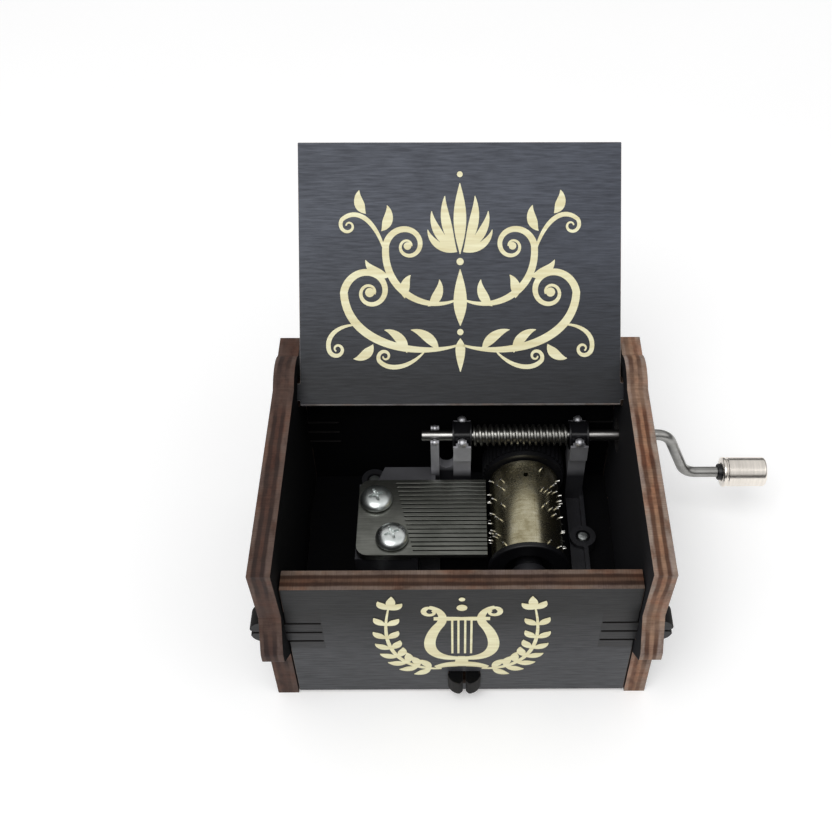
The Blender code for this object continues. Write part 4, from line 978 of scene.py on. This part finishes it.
def brassTube():
    s = tube
    axis = Vector(jointPlace("cylinder_turn"))
    axis.y = 0
    low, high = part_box("pinned_cylinder")
    middle = axis + Vector((0, (low.y + high.y) / 2, 0))
    outer, inner, lip = s["radius"], s["radius"] - s["wall"], s["lip"]
    profile = [
        (low.y, inner), (low.y, outer - lip), (low.y + lip, outer),
        (high.y - lip, outer), (high.y, outer - lip), (high.y, inner),
    ]
    barrel = turnPiece("cylinder_tube", profile, "Y", tuple(axis), 128)
    seam = startPiece("seam", bpy.ops.mesh.primitive_cube_add, size=1, location=middle)
    settle(seam)
    openForEditing(seam)
    seamSize = (s["seamWide"], (high.y - low.y) * 1.1, s["seamDeep"])
    bpy.ops.transform.resize(value=seamSize, center_override=middle)
    bpy.ops.transform.translate(value=(0, 0, outer))
    bpy.ops.transform.rotate(value=-s["seamAngle"], orient_axis="Y", center_override=axis)
    closeEditing()
    cutAway(barrel, seam)
    pegPlace = axis + Vector((0, high.y - s["pegInset"], outer))
    hole = startPiece(
        "peg_hole", bpy.ops.mesh.primitive_cylinder_add,
        vertices=24, radius=s["pegHole"], depth=s["pegDeep"], location=pegPlace,
    )
    settle(hole)
    cutAway(barrel, hole)
    shadeRound(barrel, 30)
    finishPiece(barrel, "cylinder", brassFinish, ["pinned_cylinder"])

    # one pin, then a copy of it for every note
    combLow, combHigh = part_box("comb")
    pitch = (combHigh.y - combLow.y) / s["teeth"]
    length = s["pinReach"] + s["wall"] / 2
    blank = {"vertices": 10, "radius": s["pinRadius"], "depth": length}
    master = startPiece("pin", bpy.ops.mesh.primitive_cylinder_add, **blank)
    roundEdges(master, s["pinRounding"], 2, 60)
    pins = []
    for track, angle in pinPlaces():
        pin = bpy.data.objects.new("pin", master.data.copy())
        bpy.context.scene.collection.objects.link(pin)
        place = axis + Vector((0, combLow.y + pitch * (track + 0.5), 0))
        lift = Matrix.Translation((0, 0, outer + s["pinReach"] - length / 2))
        pin.data.transform(Matrix.Translation(place) @ Matrix.Rotation(angle, 4, "Y") @ lift)
        pins.append(pin)
    bpy.data.objects.remove(master, do_unlink=True)
    pinSet = joinPieces(pins, "cylinder_pins")
    shadeRound(pinSet, 40)
    finishPiece(pinSet, "cylinder", steel["pin_steel"])


brassTube()

trimNode("drive_gear", "drive_gear_moulded", "cylinder", plasticFinish, edge=0.035 * mm, segments=1)
trimNode("cylinder_end_cap", "end_cap_moulded", "cylinder", plasticFinish, edge=0.1 * mm)
trimNode("cylinder_arbor", "arbor_turned", "cylinder", steel["wire_drawn"], edge=0.05 * mm, sharperThan=30)
print("cylinder done")


# crank: one bent wire, its worm, and the knob that turns on it

crank = {
    "wire": 1.0 * mm,
    "sides": 32,
    "bend": 3.2 * mm,
    "bendSteps": 14,
    "slope": math.radians(67),
    "outside": 3.6 * mm,
    "edge": 0.15 * mm,
}


def crankWire():
    s = crank
    low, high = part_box("crankshaft")
    shaft = Vector(crankAt)
    handle = Vector(jointPlace("knob_spin"))
    drop = shaft.z - handle.z
    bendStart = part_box("right_side_panel")[1].x + s["outside"]
    run = (drop - 2 * s["bend"] * (1 - math.cos(s["slope"]))) / math.sin(s["slope"])
    wire = startPiece(
        "crank_wire", bpy.ops.mesh.primitive_circle_add,
        vertices=s["sides"], radius=s["wire"], fill_type="NGON",
        location=(low.x, shaft.y, shaft.z), rotation=(0, math.pi / 2, 0),
    )
    settle(wire)
    openForEditing(wire)
    bpy.ops.mesh.extrude_region_move(TRANSFORM_OT_translate={"value": (bendStart - low.x, 0, 0)})
    turnCentre = (bendStart, shaft.y, shaft.z - s["bend"])
    bpy.ops.mesh.spin(steps=s["bendSteps"], angle=-s["slope"], center=turnCentre, axis=(0, 1, 0))
    across, down = math.cos(s["slope"]) * run, -math.sin(s["slope"]) * run
    bpy.ops.mesh.extrude_region_move(TRANSFORM_OT_translate={"value": (across, 0, down)})
    bendEnd = bendStart + 2 * s["bend"] * math.sin(s["slope"]) + across
    turnCentre = (bendEnd, shaft.y, handle.z + s["bend"])
    bpy.ops.mesh.spin(steps=s["bendSteps"], angle=s["slope"], center=turnCentre, axis=(0, 1, 0))
    bpy.ops.mesh.extrude_region_move(TRANSFORM_OT_translate={"value": (high.x - bendEnd, 0, 0)})
    bpy.ops.mesh.select_all(action="SELECT")
    bpy.ops.mesh.remove_doubles(threshold=0.001 * mm)
    bpy.ops.mesh.normals_make_consistent(inside=False)
    closeEditing()
    roundEdges(wire, s["edge"], 3, 50)
    shadeRound(wire)
    finishPiece(wire, "crank", steel["wire_drawn"], ["crankshaft"])


crankWire()

# the worm takes the darker steel, for its painted shade
worm = copyNode("worm", "worm_cut")
shadeRound(worm, 30)
finishPiece(worm, "crank", steel["worm_oiled"], ["worm"])

knobTurning = {
    "bore": 1.3 * mm,
    "boreFrom": 3.0 * mm,
    "boreTo": 1.0 * mm,
    "counterbore": 2.3 * mm,
    # the rolled mouth round the wire
    "mouth": 1.75 * mm,
    "mouthDeep": 0.55 * mm,
    "mouthRounding": 0.15 * mm,
    # the outline near each end: in from the end and under the full radius, in mm
    "leftRim": (
        (0.0, 0.3), (0.08, 0.1), (0.25, 0.0), (0.6, 0.0),
        (0.72, 0.05), (0.85, 0.16), (1.02, 0.16), (1.15, 0.05),
    ),
    "rightRim": ((0.55, 0.05), (0.28, 0.14), (0.1, 0.34), (0.02, 0.6), (0.0, 0.9)),
    # the slight hollow of the end, as (in from the end, radius)
    "endHollow": ((0.06 * mm, 0.5 * mm), (0.12 * mm, 0.0)),
    "bushLip": 1.55 * mm,
    "bushRim": ((0.0, 0.2), (0.06, 0.06), (0.2, 0.0)),
    "bushFrom": 0.75 * mm,
}


def knobPiece():
    s = knobTurning
    low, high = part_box("crank_knob")
    left, right = low.x, high.x
    radius = (high.z - low.z) / 2
    axis = (0, (low.y + high.y) / 2, (low.z + high.z) / 2)
    deep, mouth, rounding = left + s["mouthDeep"], s["mouth"], s["mouthRounding"]
    profile = [
        (left + s["boreFrom"], s["bore"]), (left + s["boreFrom"], s["counterbore"]), (deep, s["counterbore"]),
        (deep, mouth), (left + rounding, mouth), (left, mouth + rounding),
    ]
    profile += [(left + inward * mm, radius - under * mm) for inward, under in s["leftRim"]]
    profile += [(right - inward * mm, radius - under * mm) for inward, under in s["rightRim"]]
    profile += [(right - inward, width) for inward, width in s["endHollow"]]
    profile += [(right - s["boreTo"], 0.0), (right - s["boreTo"], s["bore"])]
    knob = turnPiece("knob_turned", profile, "X", axis, 128)
    shadeRound(knob, 40)
    finishPiece(knob, "knob", steel["knob_turned"], ["crank_knob"])
    low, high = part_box("knob_bush")
    outer, lip = (high.z - low.z) / 2, s["bushLip"]
    wideFrom = left + s["bushFrom"]
    profile = [(low.x, s["bore"])]
    profile += [(low.x + inward * mm, lip - under * mm) for inward, under in s["bushRim"]]
    profile += [(wideFrom, lip), (wideFrom, outer), (high.x, outer), (high.x, s["bore"])]
    bush = turnPiece("knob_bush_moulded", profile, "X", axis, 64)
    shadeRound(bush)
    finishPiece(bush, "knob", plasticFinish, ["knob_bush"])


knobPiece()
print("crank done")


# floor, light and camera

studio = {
    "floor": (tint(248, 248, 248), tint(250, 250, 250)),
    "floorGrain": {"stretch": (12, 12, 12), "detail": 2.0},
    "floorRoughness": 0.9,
    "floorGlow": 0.17,
    "worldStrength": 0.72,
    # a grey band over the horizon gives the polished metal something to mirror
    "band": grey(0.12),
    "bandTop": 0.34,
    "clearFrom": 0.5,
    "lampSize": 0.5,
    "lampAim": (0, -0.02, 0.03),
    # place and power
    "lamps": {"key_light": ((-0.15, -0.36, 0.74), 2.7), "fill_light": ((0.5, -0.2, 0.5), 0.4)},
}


def paleFloor():
    floor = startPiece("studio_floor", bpy.ops.mesh.primitive_plane_add, size=6, location=(0, 0, 0))
    settle(floor)
    material, tree, shader = newMaterial("floor_paper")
    place = addNode(tree, "ShaderNodeTexCoord").outputs["Object"]
    grain = stretchedNoise(tree, place, **studio["floorGrain"])
    tree.links.new(twoTone(tree, grain, *studio["floor"]), shader.inputs["Base Color"])
    shader.inputs["Roughness"].default_value = studio["floorRoughness"]
    shader.inputs["Emission Color"].default_value = (1, 1, 1, 1)
    shader.inputs["Emission Strength"].default_value = studio["floorGlow"]
    floor.data.materials.append(material)


def areaLight(name, place, power):
    bpy.ops.object.light_add(type="AREA", location=place)
    lamp = bpy.context.object
    lamp.name = name
    lamp.data.shape = "RECTANGLE"
    lamp.data.size = studio["lampSize"]
    lamp.data.size_y = studio["lampSize"]
    lamp.data.energy = power
    aim = Vector(studio["lampAim"]) - Vector(place)
    lamp.rotation_euler = aim.to_track_quat("-Z", "Y").to_euler()


view = {
    "place": (-1.08 * mm, -140.66 * mm, 178.05 * mm),
    "down": math.radians(47.93),
    "yaw": math.radians(0.58),
    "roll": math.radians(0.23),
    "lens": 48.49,
    "sideShift": -46 / 832,
}


def photoCamera():
    s = view
    level = math.cos(s["down"])
    ahead = Vector((math.sin(s["yaw"]) * level, math.cos(s["yaw"]) * level, -math.sin(s["down"])))
    right = Vector((math.cos(s["yaw"]), -math.sin(s["yaw"]), 0))
    up = right.cross(ahead)
    side = right * math.cos(s["roll"]) + up * math.sin(s["roll"])
    top = up * math.cos(s["roll"]) - right * math.sin(s["roll"])
    bpy.ops.object.camera_add(location=s["place"])
    camera = bpy.context.object
    camera.name = "photo_camera"
    camera.data.lens = s["lens"]
    camera.data.sensor_width = 36
    camera.data.shift_x = s["sideShift"]
    camera.data.clip_start = 0.005
    turn = Matrix((side, top, -ahead)).transposed()
    camera.matrix_world = Matrix.Translation(s["place"]) @ turn.to_4x4()
    bpy.context.scene.camera = camera


def studioWorld():
    world = bpy.data.worlds.new("studio")
    world.use_nodes = True
    bpy.context.scene.world = world
    tree = world.node_tree
    way = addNode(tree, "ShaderNodeTexCoord").outputs["Generated"]
    rise = axisOf(tree, way, "Z")
    band = studio["band"]
    stops = [(0.0, band), (studio["bandTop"], band), (studio["clearFrom"], grey(1))]
    sky = addRamp(tree, rise, stops)
    background = tree.nodes["Background"]
    tree.links.new(sky, background.inputs["Color"])
    background.inputs["Strength"].default_value = studio["worldStrength"]


paleFloor()
studioWorld()
for name, (place, power) in studio["lamps"].items():
    areaLight(name, place, power)
photoCamera()
bpy.context.scene.view_settings.view_transform = "Standard"
print("studio ready")
